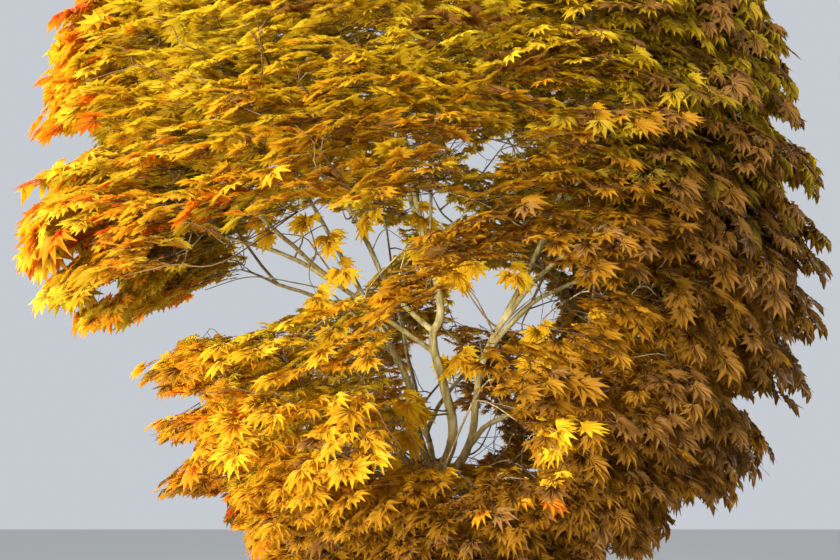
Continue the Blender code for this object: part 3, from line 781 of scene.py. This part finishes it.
SURFACE_TWIGS = (
    ((-73, -151, 242), (-60, -156, 232), (-54, -159, 226), (-45, -162, 221)),
    ((-48, -160, 236), (-49, -160, 247), (-51, -158, 258)),
    ((-50, -159, 247), (-55, -157, 255)),
    ((-49, -160, 248), (-46, -160, 256)),
    ((-36, -164, 232), (-36, -163, 239)),
    ((-36, -164, 232), (-30, -165, 235)),
    ((-30, -165, 204), (-31, -165, 212), (-37, -164, 218)),
    ((-29, -165, 210), (-26, -166, 216)),
    ((-75, -149, 251), (-80, -145, 259), (-89, -140, 265)),
    ((-87, -142, 246), (-99, -134, 249), (-116, -120, 251)),
    ((-94, -138, 248), (-95, -137, 252), (-102, -131, 260)),
    ((-59, -153, 179), (-76, -145, 180), (-94, -134, 179)),
    ((-55, -155, 184), (-65, -152, 190), (-73, -149, 193)),
    ((-51, -122, 144), (-60, -118, 145), (-73, -110, 144)),
    ((-34, -129, 134), (-41, -130, 140), (-50, -129, 145)),
    ((-22, -140, 146), (-30, -139, 147), (-39, -139, 151)),
    ((-6, -131, 125), (-10, -135, 131), (-15, -139, 139), (-24, -140, 142)),
    ((-14, -128, 118), (-21, -130, 122), (-30, -131, 125), (-42, -128, 126)),
)
SURFACE_TWIG_RADIUS = 0.0029
SURFACE_TWIG_SEARCH = 0.4
SPRIGS = (
    (-466, -300, 2000), (-420, -300, 2330), (-400, -300, 2240), (-380, -300, 2140), (-660, -300, 2310),
    (-580, -300, 2310), (-160, -300, 2380), (-70, -320, 2370), (-120, -280, 2220), (20, -350, 2200),
    (50, -300, 2110), (120, -320, 2140), (180, -340, 2180), (330, -300, 2100), (150, 100, 1820),
    (200, 100, 1780), (470, -100, 1780), (560, -120, 1770), (530, -200, 1900), (-120, -50, 1600),
    (-50, 50, 1580), (-130, -150, 1470), (-190, -200, 1310), (-300, -220, 1860),
)
SPRIG_YAW = 70
SPRIG_DIP = (35, 62)
SPRIG_RADIUS = 0.0032
SPRIG_STEPS = 8
SPRIG_SIZE = 0.45
WEDGE_STARTS = -0.45
WEDGE_SHARE = 0.8
WEDGE_LOAD = 14
Twig = namedtuple("Twig", "points source share load")


def arched(start, first_way, end, last_way, steps):
    """Points on a smooth line that leaves start one way and comes to end another."""
    length = np.linalg.norm(end - start)
    t = np.linspace(0, 1, steps + 1)[:, None]
    lead = (2 * t**3 - 3 * t**2 + 1) * start + (3 * t**2 - 2 * t**3) * end
    return lead + length * ((t**3 - 2 * t**2 + t) * first_way + (t**3 - t**2) * last_way)


def grow(foot, way, ends, ways):
    """The twigs that bear the fans, and which fan each bears: the furthest is the leader, and each of the
    rest, from the stem outwards, grows from the nearest free bud."""
    order = np.argsort(np.linalg.norm(ends - foot, axis=1))
    order = [order[-1], *order[:-1]]
    twigs = []
    spots, tangents, backs, sources, shares = [foot], [way], [0.0], [None], [1.0]
    for index in order:
        goal = ends[index]
        cost = np.linalg.norm(np.array(spots) - goal, axis=1) + FAVOUR_NEAR_STEM * np.array(backs)
        best = int(cost.argmin())
        start, lead = spots[best], tangents[best]
        reach = goal - start
        length = np.linalg.norm(reach)
        first = TWIG_LEAD * lead + TWIG_REACH * reach / length + (0, 0, TWIG_LIFT)
        steps = max(TWIG_STEPS[0], min(TWIG_STEPS[1], round(length / TWIG_STEP)))
        points = arched(start, first, goal, ways[index] * TWIG_LEVELS_OUT, steps)
        twigs.append(Twig(points, sources[best], shares[best], [1]))
        source = sources[best]
        while source is not None:
            twigs[source].load[0] += 1
            source = twigs[source].source
        way_back = backs[best]
        if best:
            for column in (spots, tangents, backs, sources, shares):
                del column[best]
        for share in BUDS:
            spot = share * steps
            i = int(spot)
            spots.append(points[i] + (points[i + 1] - points[i]) * (spot - i))
            tangents.append((points[i + 1] - points[i]) / np.linalg.norm(points[i + 1] - points[i]))
            backs.append(way_back + length * share)
            sources.append(len(twigs) - 1)
            shares.append(share)
    return twigs, np.array(order)


def crosses_wedge(twig):
    """Whether a light twig crosses the open wedge on the left."""
    points = twig.points[1:-1]
    points = points[points[:, 0] < WEDGE_STARTS]
    return twig.load[0] <= WEDGE_LOAD and len(points) > 0 and in_window(points, WEDGE_SHARE).any()


def without_crossing(twigs):
    """Which twigs stay once those across the wedge are shed, with all that grows from them."""
    stays = []
    for twig in twigs:
        rooted = twig.source is None or stays[twig.source]
        stays.append(rooted and not crosses_wedge(twig))
    return np.array(stays)


def twig_radii(twig, twigs):
    """The radii of a twig from foot to tip: thick for its load, but less so than its parent is there."""
    start = min(TWIG_TIP_RADIUS * twig.load[0] ** TWIG_GROWTH, BOUGH_TIP_RADIUS)
    if twig.source is not None:
        parent = twigs[twig.source]
        thick = min(TWIG_TIP_RADIUS * parent.load[0] ** TWIG_GROWTH, BOUGH_TIP_RADIUS)
        start = min(start, FORK_SHARE * (thick + (TWIG_TIP_RADIUS - thick) * twig.share))
    return np.linspace(max(start, TWIG_TIP_RADIUS), TWIG_TIP_RADIUS, len(twig.points))


def join_tubes(name, tubes, sides):
    obj = mesh_object(name, *merged([ring_mesh(line, radii, sides) for line, radii in tubes]))
    obj.data.shade_smooth()
    return obj


def fan_pattern():
    """Where each leaf of a fan sits and heads, and each shoot's line, in the fan's own plane: metres along
    and across, degrees from its axis, and its share of the full size. The axis's own leaves come first."""
    leaves, shoots = [], []
    branches = [(0.0, 0, FAN_AXIS, AXIS_NODES)]
    for along, turn, length, nodes in SIDE_SHOOTS:
        branches += [(along, hand * turn, length, nodes) for hand in (-1, 1)]
    for along, turn, length, nodes in branches:
        start = np.array((along, 0.0))
        way = np.array((math.cos(math.radians(turn)), math.sin(math.radians(turn))))
        shoots.append([start + way * length * share for share in ((0, 1) if turn else (0, 0.5, 1))])
        for share, spread, size in nodes:
            for hand in (-1, 1) if spread else (0,):
                heading = LEAVES_FOLLOW_FAN * turn + hand * spread
                leaves.append((*(start + way * length * share), heading, size))
    return np.array(leaves), shoots


def on_fans(foot, way, face, size, sag, flat):
    """Places in each fan's plane, given along and across, laid on its sagging sheet."""
    side = np.cross(way, face)
    sag = sag[:, None] * ((flat[..., 0] - 0.08) ** 2 + flat[..., 1] ** 2 * 1.2)
    laid = way[:, None] * flat[..., :1] + side[:, None] * flat[..., 1:] - face[:, None] * sag[..., None]
    return foot[:, None] + laid * size[:, None, None]


rng = np.random.default_rng(20)
branch_tubes = []
shoot_tubes = []
fans = []
for number, mass in enumerate(MASSES):
    middles = fan_middles(number, rng)
    ways, faces = fan_ways(middles, rng)
    feet = middles - ways * FAN_REACH
    tip, way, _ = limbs[mass.name].at(1.0)
    twigs, bears = grow(np.array(tip) - np.array(way) * 0.01, np.array(way), feet, ways)
    stays = without_crossing(twigs)
    branch_tubes += [(twig.points, twig_radii(twig, twigs)) for twig, kept in zip(twigs, stays) if kept]
    bears = bears[stays]
    fans.append((feet[bears], ways[bears], faces[bears], np.full(len(bears), number)))

wood_points = np.concatenate(
    [limb.points for name, limb in limbs.items() if not name.startswith("root")]
    + [points for points, _ in branch_tubes]
)


def nearest_wood(point, lowest=-9.0):
    reach = wood_points[wood_points[:, 2] > lowest]
    return reach[((reach - point) ** 2).sum(1).argmin()]


def extra_twig(line, radius, search):
    """A twig along the given places, from the nearest wood where that is within the search."""
    line = [Vector(point) for point in line]
    start = Vector(nearest_wood(np.array(line[0])))
    if (start - line[0]).length < search:
        line.insert(0, start)
    points = np.array(through(line, 0.03))
    return points, np.linspace(radius, TWIG_TIP_RADIUS * THIN_TIP, len(points))


for line in BARE_TWIGS:
    branch_tubes.append(extra_twig(np.array(line) / 1000, BARE_TWIG_RADIUS, BARE_TWIG_SEARCH))
for line in SURFACE_TWIGS:
    shoot_tubes.append(extra_twig(np.array(line) / 100, SURFACE_TWIG_RADIUS, SURFACE_TWIG_SEARCH))

sprigs = np.array(SPRIGS) / 1000
yaw = rng.uniform(-SPRIG_YAW, SPRIG_YAW, len(sprigs)) - 90
dip = np.radians(rng.uniform(*SPRIG_DIP, len(sprigs)))
level_ways = np.array([compass(angle) for angle in yaw])
sprig_ways = level_ways * np.cos(dip)[:, None] - np.sin(dip)[:, None] * np.array(UP)
for root, way in zip(sprigs, sprig_ways):
    start = nearest_wood(root, root[2] - 0.1)
    reach = root - start
    lead = 0.8 * reach / np.linalg.norm(reach) + (0, 0, 0.12)
    points = arched(start, lead, root, way, SPRIG_STEPS)
    branch_tubes.append((points, np.linspace(SPRIG_RADIUS, TWIG_TIP_RADIUS * THIN_TIP, len(points))))
sprig_lit = LIGHT + (0, -0.7, 0)
sprig_faces = unit(sprig_lit - sprig_ways * (sprig_ways @ sprig_lit)[:, None])
fans.append((sprigs, sprig_ways, sprig_faces, ((sprigs[:, None] - MIDDLES) ** 2).sum(2).argmin(1)))
fan_foot, fan_way, fan_face, fan_mass = map(np.concatenate, zip(*fans))
is_sprig = np.arange(len(fan_foot)) >= len(fan_foot) - len(sprigs)

twigs_piece = join_tubes("twigs", branch_tubes, TWIG_SIDES)
twigs_piece.data.materials.append(
    bark_material("twig_bark", (0.12, 0.075, 0.03), (0.32, 0.24, 0.11), (0.42, 0.36, 0.2), 150, 0.0006)
)
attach(twigs_piece, "root")

pattern, shoot_lines = fan_pattern()
fan_hang = hanging(fan_foot)
fan_sag = FAN_SAGS[0] + (FAN_SAGS[1] - FAN_SAGS[0]) * fan_hang
fan_size = rng.uniform(*FAN_SIZES, len(fan_foot)) * np.where(is_sprig, SPRIG_SIZE, 1.0)
for line in shoot_lines:
    mine = slice(None) if line is shoot_lines[0] else ~is_sprig
    places = fan_foot[mine], fan_way[mine], fan_face[mine], fan_size[mine], fan_sag[mine]
    laid = on_fans(*places, np.array(line)[None])
    laid = laid[is_sprig[mine] | ~in_window(laid[:, -1], LEAVES_LEAN_IN)]
    radii = np.linspace(TWIG_TIP_RADIUS * SHOOT_SHARE, SHOOT_TIP_RADIUS, len(line))
    shoot_tubes += [(points, radii) for points in laid]
shoots = join_tubes("shoots", shoot_tubes, SHOOT_SIDES)
shoots.data.materials.append(
    bark_material("shoot_bark", (0.06, 0.028, 0.01), (0.115, 0.06, 0.02), (0.165, 0.095, 0.034), 190, 0.0004)
)
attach(shoots, "root")


# Leaves: thin, with nine long-pointed lobes folded along their ribs, in pairs and at the ends of each fan's
# shoots. Their tints go by spray: gold on the sunny side, orange to red at its tips, olive gold in the
# upper middle, and ochre with dusty salmon tips on the shady side, made darker there by painted shade.
# Painted light lightens them where shade falls in the upper middle, over the low left tier and inside, and
# painted sunlight makes the sprigs and some sprays bright gold. Each tint is a piece.
LOBES = (
    (-124, 0.46, False), (-94, 0.66, False), (-62, 0.85, False), (-31, 0.96, True), (0, 1.0, True),
    (31, 0.96, True), (62, 0.85, False), (94, 0.66, False), (124, 0.46, False),
)
NOTCH = 0.57
SHOULDER_AT = 0.66
SHOULDER_TURN = 8.0
LEAF_LENGTH = 0.084
LEAF_SIZES = (0.85, 1.15)
STALK_LENGTH = 0.3
STALK_WIDTH = 0.02
STALK_SAG = 0.06
LEAF_SCATTER = 0.006
LEAF_RISE = 0.012
LEAF_DROP = (-12, 12)
HANGING_DROP = 8
LEAF_ROLL = 20
LEAF_TURN = 12
LEAF_REACH = 1.015
INNER_SIZE = 0.88
FALLEN = 0.05
LEAST_LEAF = 0.78
HANGING_GROWTH = 0.2
WING_GROWTH = 0.2
SPRIG_LEAF = 1.45
SPRIG_LEAVES = (0, 3, 4)
TIP_GROWTH = 0.28


def leaf_shape(droop, fold, twist, finish="full"):
    """A leaf 1 long from its stalk to its tip: a fan of triangles, its lobes folded, its tips hanging. A
    plain one, for a fan's inside, has no stalk or shoulders, and a small one no hindmost lobes either."""
    lobes = LOBES[1:-1] if finish == "small" else LOBES
    corners = [(-180, 0.12, 0.0)]
    for i, (turn, length, shouldered) in enumerate(lobes):
        shouldered = shouldered and finish == "full"
        if i:
            gap = (lobes[i - 1][0] + turn) / 2
            corners.append((gap, NOTCH * (lobes[i - 1][1] + length) / 2, fold))
        if shouldered:
            corners.append((turn - SHOULDER_TURN, length * SHOULDER_AT, fold * 0.5))
        corners.append((turn, length, -droop * length**2))
        if shouldered:
            corners.append((turn + SHOULDER_TURN, length * SHOULDER_AT, fold * 0.5))
    bpy.ops.mesh.primitive_circle_add(vertices=len(corners), fill_type="TRIFAN")
    leaf = bpy.context.object
    for vert, (turn, length, height) in zip(leaf.data.vertices, corners):
        angle = math.radians(turn)
        rise = height - droop * 0.5 * length**2 + twist * length * math.sin(angle)
        vert.co = (length * math.sin(angle), length * math.cos(angle), rise)
    shape = leaf.data
    points = np.array([vert.co for vert in shape.vertices])
    triangles = np.array([face.vertices for face in shape.polygons])
    bpy.data.objects.remove(leaf)
    if finish != "full":
        return points, triangles
    half, end, sag = STALK_WIDTH / 2, -STALK_LENGTH, -STALK_SAG
    stalk = np.array([(-half, 0, 0), (half, 0, 0), (half, end, sag), (-half, end, sag)])
    return merged([(points, triangles), (stalk, np.array([(0, 1, 2), (0, 2, 3)]))])


LEAF_SHAPES = [
    leaf_shape(0.16, 0.05, 0.05),
    leaf_shape(0.26, 0.065, -0.1),
    leaf_shape(0.05, 0.04, 0.12),
    leaf_shape(0.12, 0.055, -0.04),
    leaf_shape(0.14, 0.05, -0.06, "plain"),
    leaf_shape(0.05, 0.06, 0.08, "plain"),
    leaf_shape(0.08, 0.05, 0.06, "small"),
    leaf_shape(0.00, 0.07, -0.08, "small"),
]
FULL_HANGING, FULL_FLAT, PLAIN, SMALL = (0, 2), (2, 4), (4, 6), (6, 8)


def leaves_of_fans(rng):
    """The place, way, face and size of every leaf, and which fan it is on."""
    fans, each = len(fan_foot), len(pattern)
    shape = (fans, each)
    flat = pattern[None, :, :2] + rng.normal(0, LEAF_SCATTER, (fans, each, 2))
    side = np.cross(fan_way, fan_face)
    heading = np.radians(pattern[None, :, 2] + rng.uniform(-LEAF_TURN, LEAF_TURN, shape))
    way = fan_way[:, None] * np.cos(heading)[..., None] + side[:, None] * np.sin(heading)[..., None]
    tilt = 2 * fan_sag[:, None, None] * (flat - (0.08, 0))
    face = unit(fan_face[:, None] + fan_way[:, None] * tilt[..., :1] + side[:, None] * tilt[..., 1:])
    way = unit(way - face * (way * face).sum(-1, keepdims=True))
    drop = np.radians(rng.uniform(*LEAF_DROP, shape) + HANGING_DROP * fan_hang[:, None])
    axis = np.cross(way, face)
    way, face = spun(way, axis, -drop), spun(face, axis, -drop)
    face = spun(face, way, np.radians(rng.uniform(-LEAF_ROLL, LEAF_ROLL, shape)))
    size = LEAF_LENGTH * pattern[None, :, 3] * rng.uniform(*LEAF_SIZES, shape)
    size = size * (fan_leaf * fan_size**0.5)[:, None]
    place = on_fans(fan_foot, fan_way, fan_face, fan_size, fan_sag, flat)
    rise = rng.uniform(0, LEAF_RISE, shape)
    place = place + way * (size * STALK_LENGTH)[..., None] + face * rise[..., None]
    owner = np.broadcast_to(np.arange(fans)[:, None], shape)
    borne = ~is_sprig[:, None] | np.isin(np.arange(each), SPRIG_LEAVES)[None]
    borne = borne & (rng.uniform(0, 1, shape) > FALLEN)
    inner = np.broadcast_to(pattern[None, :, 3] < INNER_SIZE, shape)
    return (part[borne] for part in (place, way, face, size, owner, inner))


fan_leaf = LEAST_LEAF + HANGING_GROWTH * fan_hang + WING_GROWTH * beside(fan_foot)[0]
fan_leaf[is_sprig] = SPRIG_LEAF
leaf_place, leaf_way, leaf_face, leaf_size, leaf_fan, leaf_inner = leaves_of_fans(rng)
at_tip = rising(dome(leaf_place), 0.84, 0.08) * beside(leaf_place)[0]
leaf_size *= 1 + TIP_GROWTH * at_tip
leaf_tip = leaf_place + leaf_way * leaf_size[:, None]
seen_through = in_window(leaf_tip, LEAVES_LEAN_IN) | in_window(leaf_place, LEAVES_LEAN_IN)
kept = (dome(leaf_tip, LEAF_REACH) < 1.0) & (~seen_through | is_sprig[leaf_fan])
leaf_place, leaf_way, leaf_face, leaf_size, leaf_fan, leaf_inner = (
    part[kept] for part in (leaf_place, leaf_way, leaf_face, leaf_size, leaf_fan, leaf_inner)
)
leaf_hang = fan_hang[leaf_fan] + rng.uniform(-0.2, 0.2, len(leaf_fan))
leaf_kind = rng.integers(*FULL_FLAT, len(leaf_place))
for mine, kinds in (
    (leaf_hang > 0.55, FULL_HANGING),
    (leaf_hang < 0.1, PLAIN),
    (leaf_inner, PLAIN),
    (leaf_inner & (leaf_hang < 0.45), SMALL),
):
    leaf_kind[mine] = rng.integers(*kinds, mine.sum())

Tint = namedtuple("Tint", "colour glow slot")
TINTS = {
    "pale_gold": Tint((0.76, 0.54, 0.03), (0.88, 0.67, 0.04), "gold_leaf"),
    # painted sunlight: a brighter gold for the sprigs and for sprays the sun catches
    "bright_gold": Tint((0.95, 0.58, 0.022), (1.0, 0.68, 0.03), "gold_leaf"),
    "yellow": Tint((0.75, 0.44, 0.017), (0.88, 0.54, 0.02), "gold_leaf"),
    "gold": Tint((0.66, 0.355, 0.013), (0.78, 0.43, 0.015), "gold_leaf"),
    "deep_gold": Tint((0.55, 0.275, 0.012), (0.67, 0.34, 0.015), "gold_leaf"),
    "old_gold": Tint((0.43, 0.205, 0.011), (0.52, 0.26, 0.013), "gold_leaf"),
    "ochre": Tint((0.34, 0.155, 0.01), (0.42, 0.2, 0.012), "amber_leaf"),
    "brown_ochre": Tint((0.25, 0.114, 0.01), (0.31, 0.143, 0.011), "amber_leaf"),
    "umber": Tint((0.185, 0.082, 0.008), (0.23, 0.105, 0.009), "amber_leaf"),
    "lemon_gold": Tint((0.74, 0.55, 0.026), (0.87, 0.67, 0.035), "gold_leaf"),
    "green_gold": Tint((0.69, 0.475, 0.018), (0.81, 0.58, 0.02), "gold_leaf"),
    "moss_gold": Tint((0.61, 0.415, 0.016), (0.73, 0.5, 0.018), "gold_leaf"),
    "olive_gold": Tint((0.52, 0.35, 0.014), (0.63, 0.43, 0.016), "gold_leaf"),
    "olive_ochre": Tint((0.41, 0.268, 0.013), (0.5, 0.33, 0.015), "gold_leaf"),
    "olive_bronze": Tint((0.33, 0.21, 0.012), (0.41, 0.26, 0.013), "gold_leaf"),
    "dark_olive": Tint((0.265, 0.165, 0.011), (0.33, 0.205, 0.012), "amber_leaf"),
    "olive_umber": Tint((0.22, 0.136, 0.01), (0.27, 0.168, 0.011), "amber_leaf"),
    "orange_gold": Tint((0.8, 0.37, 0.012), (0.92, 0.45, 0.012), "gold_leaf"),
    "orange": Tint((0.8, 0.26, 0.01), (0.92, 0.31, 0.01), "gold_leaf"),
    "red_orange": Tint((0.66, 0.13, 0.012), (0.8, 0.16, 0.012), "gold_leaf"),
    "salmon": Tint((0.28, 0.133, 0.027), (0.33, 0.155, 0.027), "amber_leaf"),
}
# The ramps' deep ends hold painted shade where they are dealt on the shady right.
LOW_RAMP = ("pale_gold", "yellow", "gold", "deep_gold", "old_gold", "ochre", "brown_ochre", "umber")
HIGH_RAMP = (
    "lemon_gold", "green_gold", "moss_gold", "olive_gold", "olive_ochre", "olive_bronze", "dark_olive",
    "olive_umber",
)
WARM_SPOTS = (
    (-1.04, -0.35, 1.62, 0.22), (-0.88, -0.45, 1.4, 0.15), (-0.94, -0.4, 1.17, 0.18),
    (-0.7, -0.6, 1.76, 0.12), (0.27, -1.3, 0.98, 0.16), (-0.25, -1.2, 0.9, 0.1),
    (-0.45, -0.85, 2.35, 0.14), (-1.25, -0.4, 2.55, 0.14), (-1.2, 0.9, 1.9, 0.22),
    (-0.6, 1.2, 2.6, 0.2),
)
# Painted sunlight: sprays near these spots are dealt the bright gold that stands for sun caught on them.
PAINTED_SUN_SPOTS = (
    (0.54, -0.9, 1.67, 0.17), (0.42, -1.2, 1.27, 0.1), (0.1, -0.6, 1.74, 0.14),
    (-0.26, -1.25, 0.98, 0.12), (-0.11, -1.28, 0.93, 0.09), (-0.07, -1.00, 1.97, 0.13),
    (-0.3, -0.9, 1.78, 0.16),
)
FIRST_DEPTH = 0.12
DEPTH_SPREAD = 0.05
# Partly the leaves' own ochre, partly painted shade on the shady right.
RIGHT_OCHRE_AND_SHADE = 0.78
DRIFTS_DEEPEN = 0.2
HEM_DEEPENS = 0.42
LOW_LEFT_DEEPENS = 0.6
# Painted light: how much tints lighten in the upper crown, on the band over the low left tier and deep
# inside, against the shade there.
HIGH_PAINTED_LIGHT = 0.42
LEDGE_PAINTED_LIGHT = 0.22
INSIDE_PAINTED_LIGHT = 0.38
WARM_SHARES = {"tips": 0.85, "spots": 0.9, "low_left": 0.5, "under_wing": 0.42}
ORANGE_SHARE = 0.42
RED_SHARE = 0.3
SALMON_SHARE = 0.45
PAINTED_SUN_SHARE = 0.75


def in_spots(points, spots):
    """How near each point is to the middle of a spot, 1 there and fading out about its radius."""
    spots = np.array(spots)
    far = np.linalg.norm(points[:, None] - spots[None, :, :3], axis=2) / spots[None, :, 3]
    return np.exp(-(far**2)).max(1)


def deal_tints(points, sprigs, rng):
    """The number of each leaf's tint. Gold deepens from the sunny left to the shady right, partly the
    leaves' own ochre and partly painted shade, in drifts, to brown low down and to olive above. Painted
    light lightens the upper middle, a band over the low left tier and the leaves inside, where shade falls.
    Orange and red catch the left tips, the low left and some spots, dusty salmon the right tips, and a
    painted sunlit gold the sprigs and a few sprays more."""
    count = len(points)
    x, y, z = points.T
    drift = np.array([noise.noise(point * 1.7) for point in points])
    fleck = np.array([noise.noise(point * 4.5 + (9.0, 4.0, 2.0)) for point in points])
    level = dome(points)
    tips = rising(level, 0.86, 0.1)
    rightness = rising(x, -0.7, 1.65)
    facing = falling(y, 0.6, 1.2)
    # Painted light: the upper crown, but for its left side, most where it faces the eye, lightened against
    # the shade under its plates.
    high = rising(z, 2.12, 0.32) * rising(x, -0.5, 0.5)
    high *= 0.4 + 0.6 * facing * falling(z, 4.0, 1.2)
    low_left = falling(x, -0.62, 0.3) * falling(z, 1.78, 0.25)
    # Painted light: a band over the low left tier, lightened against the shadow of the wing above it.
    ledge = np.clip(1 - np.abs(z - 1.72) / 0.22, 0, 1) * falling(x, -0.15, 0.3)
    # Painted shade: tints deepen to the right, on top of the leaves' own ochre.
    depth = FIRST_DEPTH + RIGHT_OCHRE_AND_SHADE * rightness - HIGH_PAINTED_LIGHT * high + DRIFTS_DEEPEN * drift
    depth += rng.normal(0, DEPTH_SPREAD, count)
    depth += HEM_DEEPENS * falling(z, 1.3, 0.4) * (1 - rightness)
    depth += LOW_LEFT_DEEPENS * low_left
    depth -= LEDGE_PAINTED_LIGHT * ledge
    # Painted light: leaves deep inside the crown, most towards the front, lightened against the shade there.
    depth -= INSIDE_PAINTED_LIGHT * falling(level, 0.9, 0.16) * (0.4 + 0.6 * facing)
    names = list(TINTS)
    ramps = np.array([[names.index(name) for name in ramp] for ramp in (LOW_RAMP, HIGH_RAMP)])
    olive = rng.uniform(0, 1, count) < rising(z, 1.85, 0.7)
    tint = ramps[olive.astype(int), np.clip((depth * len(LOW_RAMP)).astype(int), 0, len(LOW_RAMP) - 1)]
    # Painted sunlight: the sprigs in the shaded window are all bright gold.
    tint[sprigs] = names.index("bright_gold")
    warm = WARM_SHARES["tips"] * falling(x, -0.9, 0.5) * tips
    warm += WARM_SHARES["spots"] * in_spots(points, WARM_SPOTS) * np.clip(1.2 + 2 * fleck, 0, 1)
    under_wing = falling(z, 2.3, 0.25) * falling(x, -0.45, 0.3)
    warm = np.maximum(warm, WARM_SHARES["low_left"] * low_left)
    warm = np.maximum(warm, WARM_SHARES["under_wing"] * under_wing)
    red = warm * np.clip(fleck + 0.12, 0, 0.5)
    chance = rng.uniform(0, 1, count)
    # Salmon, then painted sunlit gold near the sunny spots, then orange and red are dealt over the ramps.
    for mine, name in (
        (chance > 1 - SALMON_SHARE * rightness * tips, "salmon"),
        (chance > 1 - PAINTED_SUN_SHARE * in_spots(points, PAINTED_SUN_SPOTS), "bright_gold"),
        (chance < warm, "orange_gold"),
        (chance < warm * ORANGE_SHARE * (0.3 + 0.7 * tips), "orange"),
        (chance < red * RED_SHARE, "red_orange"),
    ):
        tint[mine] = names.index(name)
    return tint


def leaf_material(name, tint):
    """A thin leaf: a satin skin with a blistered surface, lit through from behind."""
    constants = {"Base Color": (*tint.colour, 1), "Roughness": 0.5, "Specular IOR Level": 0.15}
    made, skin = new_material(name, constants)
    tree = made.node_tree
    glow = add_node(tree, "ShaderNodeBsdfTranslucent", {"Color": (*tint.glow, 1)})
    both = add_node(tree, "ShaderNodeMixShader", {"Fac": 0.5})
    place = add_node(tree, "ShaderNodeTexCoord")
    blisters = add_node(tree, "ShaderNodeTexNoise", {"Scale": 160})
    bump = add_node(tree, "ShaderNodeBump", {"Strength": 0.35, "Distance": 0.002})
    link_all(tree, (
        (place, "Object", blisters, "Vector"),
        (blisters, "Fac", bump, "Height"),
        (bump, "Normal", skin, "Normal"),
        (skin, "BSDF", both, 1),
        (glow, "BSDF", both, 2),
        (both, "Shader", tree.nodes["Material Output"], "Surface"),
    ))
    return made


def laid_out(chosen):
    """The points and triangles of the chosen leaves, all in one mesh."""
    parts = []
    for kind, (shape, faces) in enumerate(LEAF_SHAPES):
        mine = chosen[leaf_kind[chosen] == kind]
        side = unit(np.cross(leaf_way[mine], leaf_face[mine]))
        normal = np.cross(side, leaf_way[mine])
        turn = np.stack((side, leaf_way[mine], normal), axis=1) * leaf_size[mine, None, None]
        laid = np.einsum("vk,nkx->nvx", shape, turn) + leaf_place[mine, None]
        each_faces = faces[None] + np.arange(len(mine))[:, None, None] * len(shape)
        parts.append((laid.reshape(-1, 3), each_faces.reshape(-1, 3)))
    return merged(parts)


leaf_tint = deal_tints(leaf_place, is_sprig[leaf_fan], rng)
for number, (name, tint) in enumerate(TINTS.items()):
    chosen = np.flatnonzero(leaf_tint == number)
    leaves = mesh_object("leaves_" + name, *laid_out(chosen))
    leaves.data.materials.append(leaf_material("leaf_" + name, tint))
    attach(leaves, "root")
    borne_by = sorted({MASSES[mass].name for mass in fan_mass[leaf_fan[chosen]]})
    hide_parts(*borne_by)
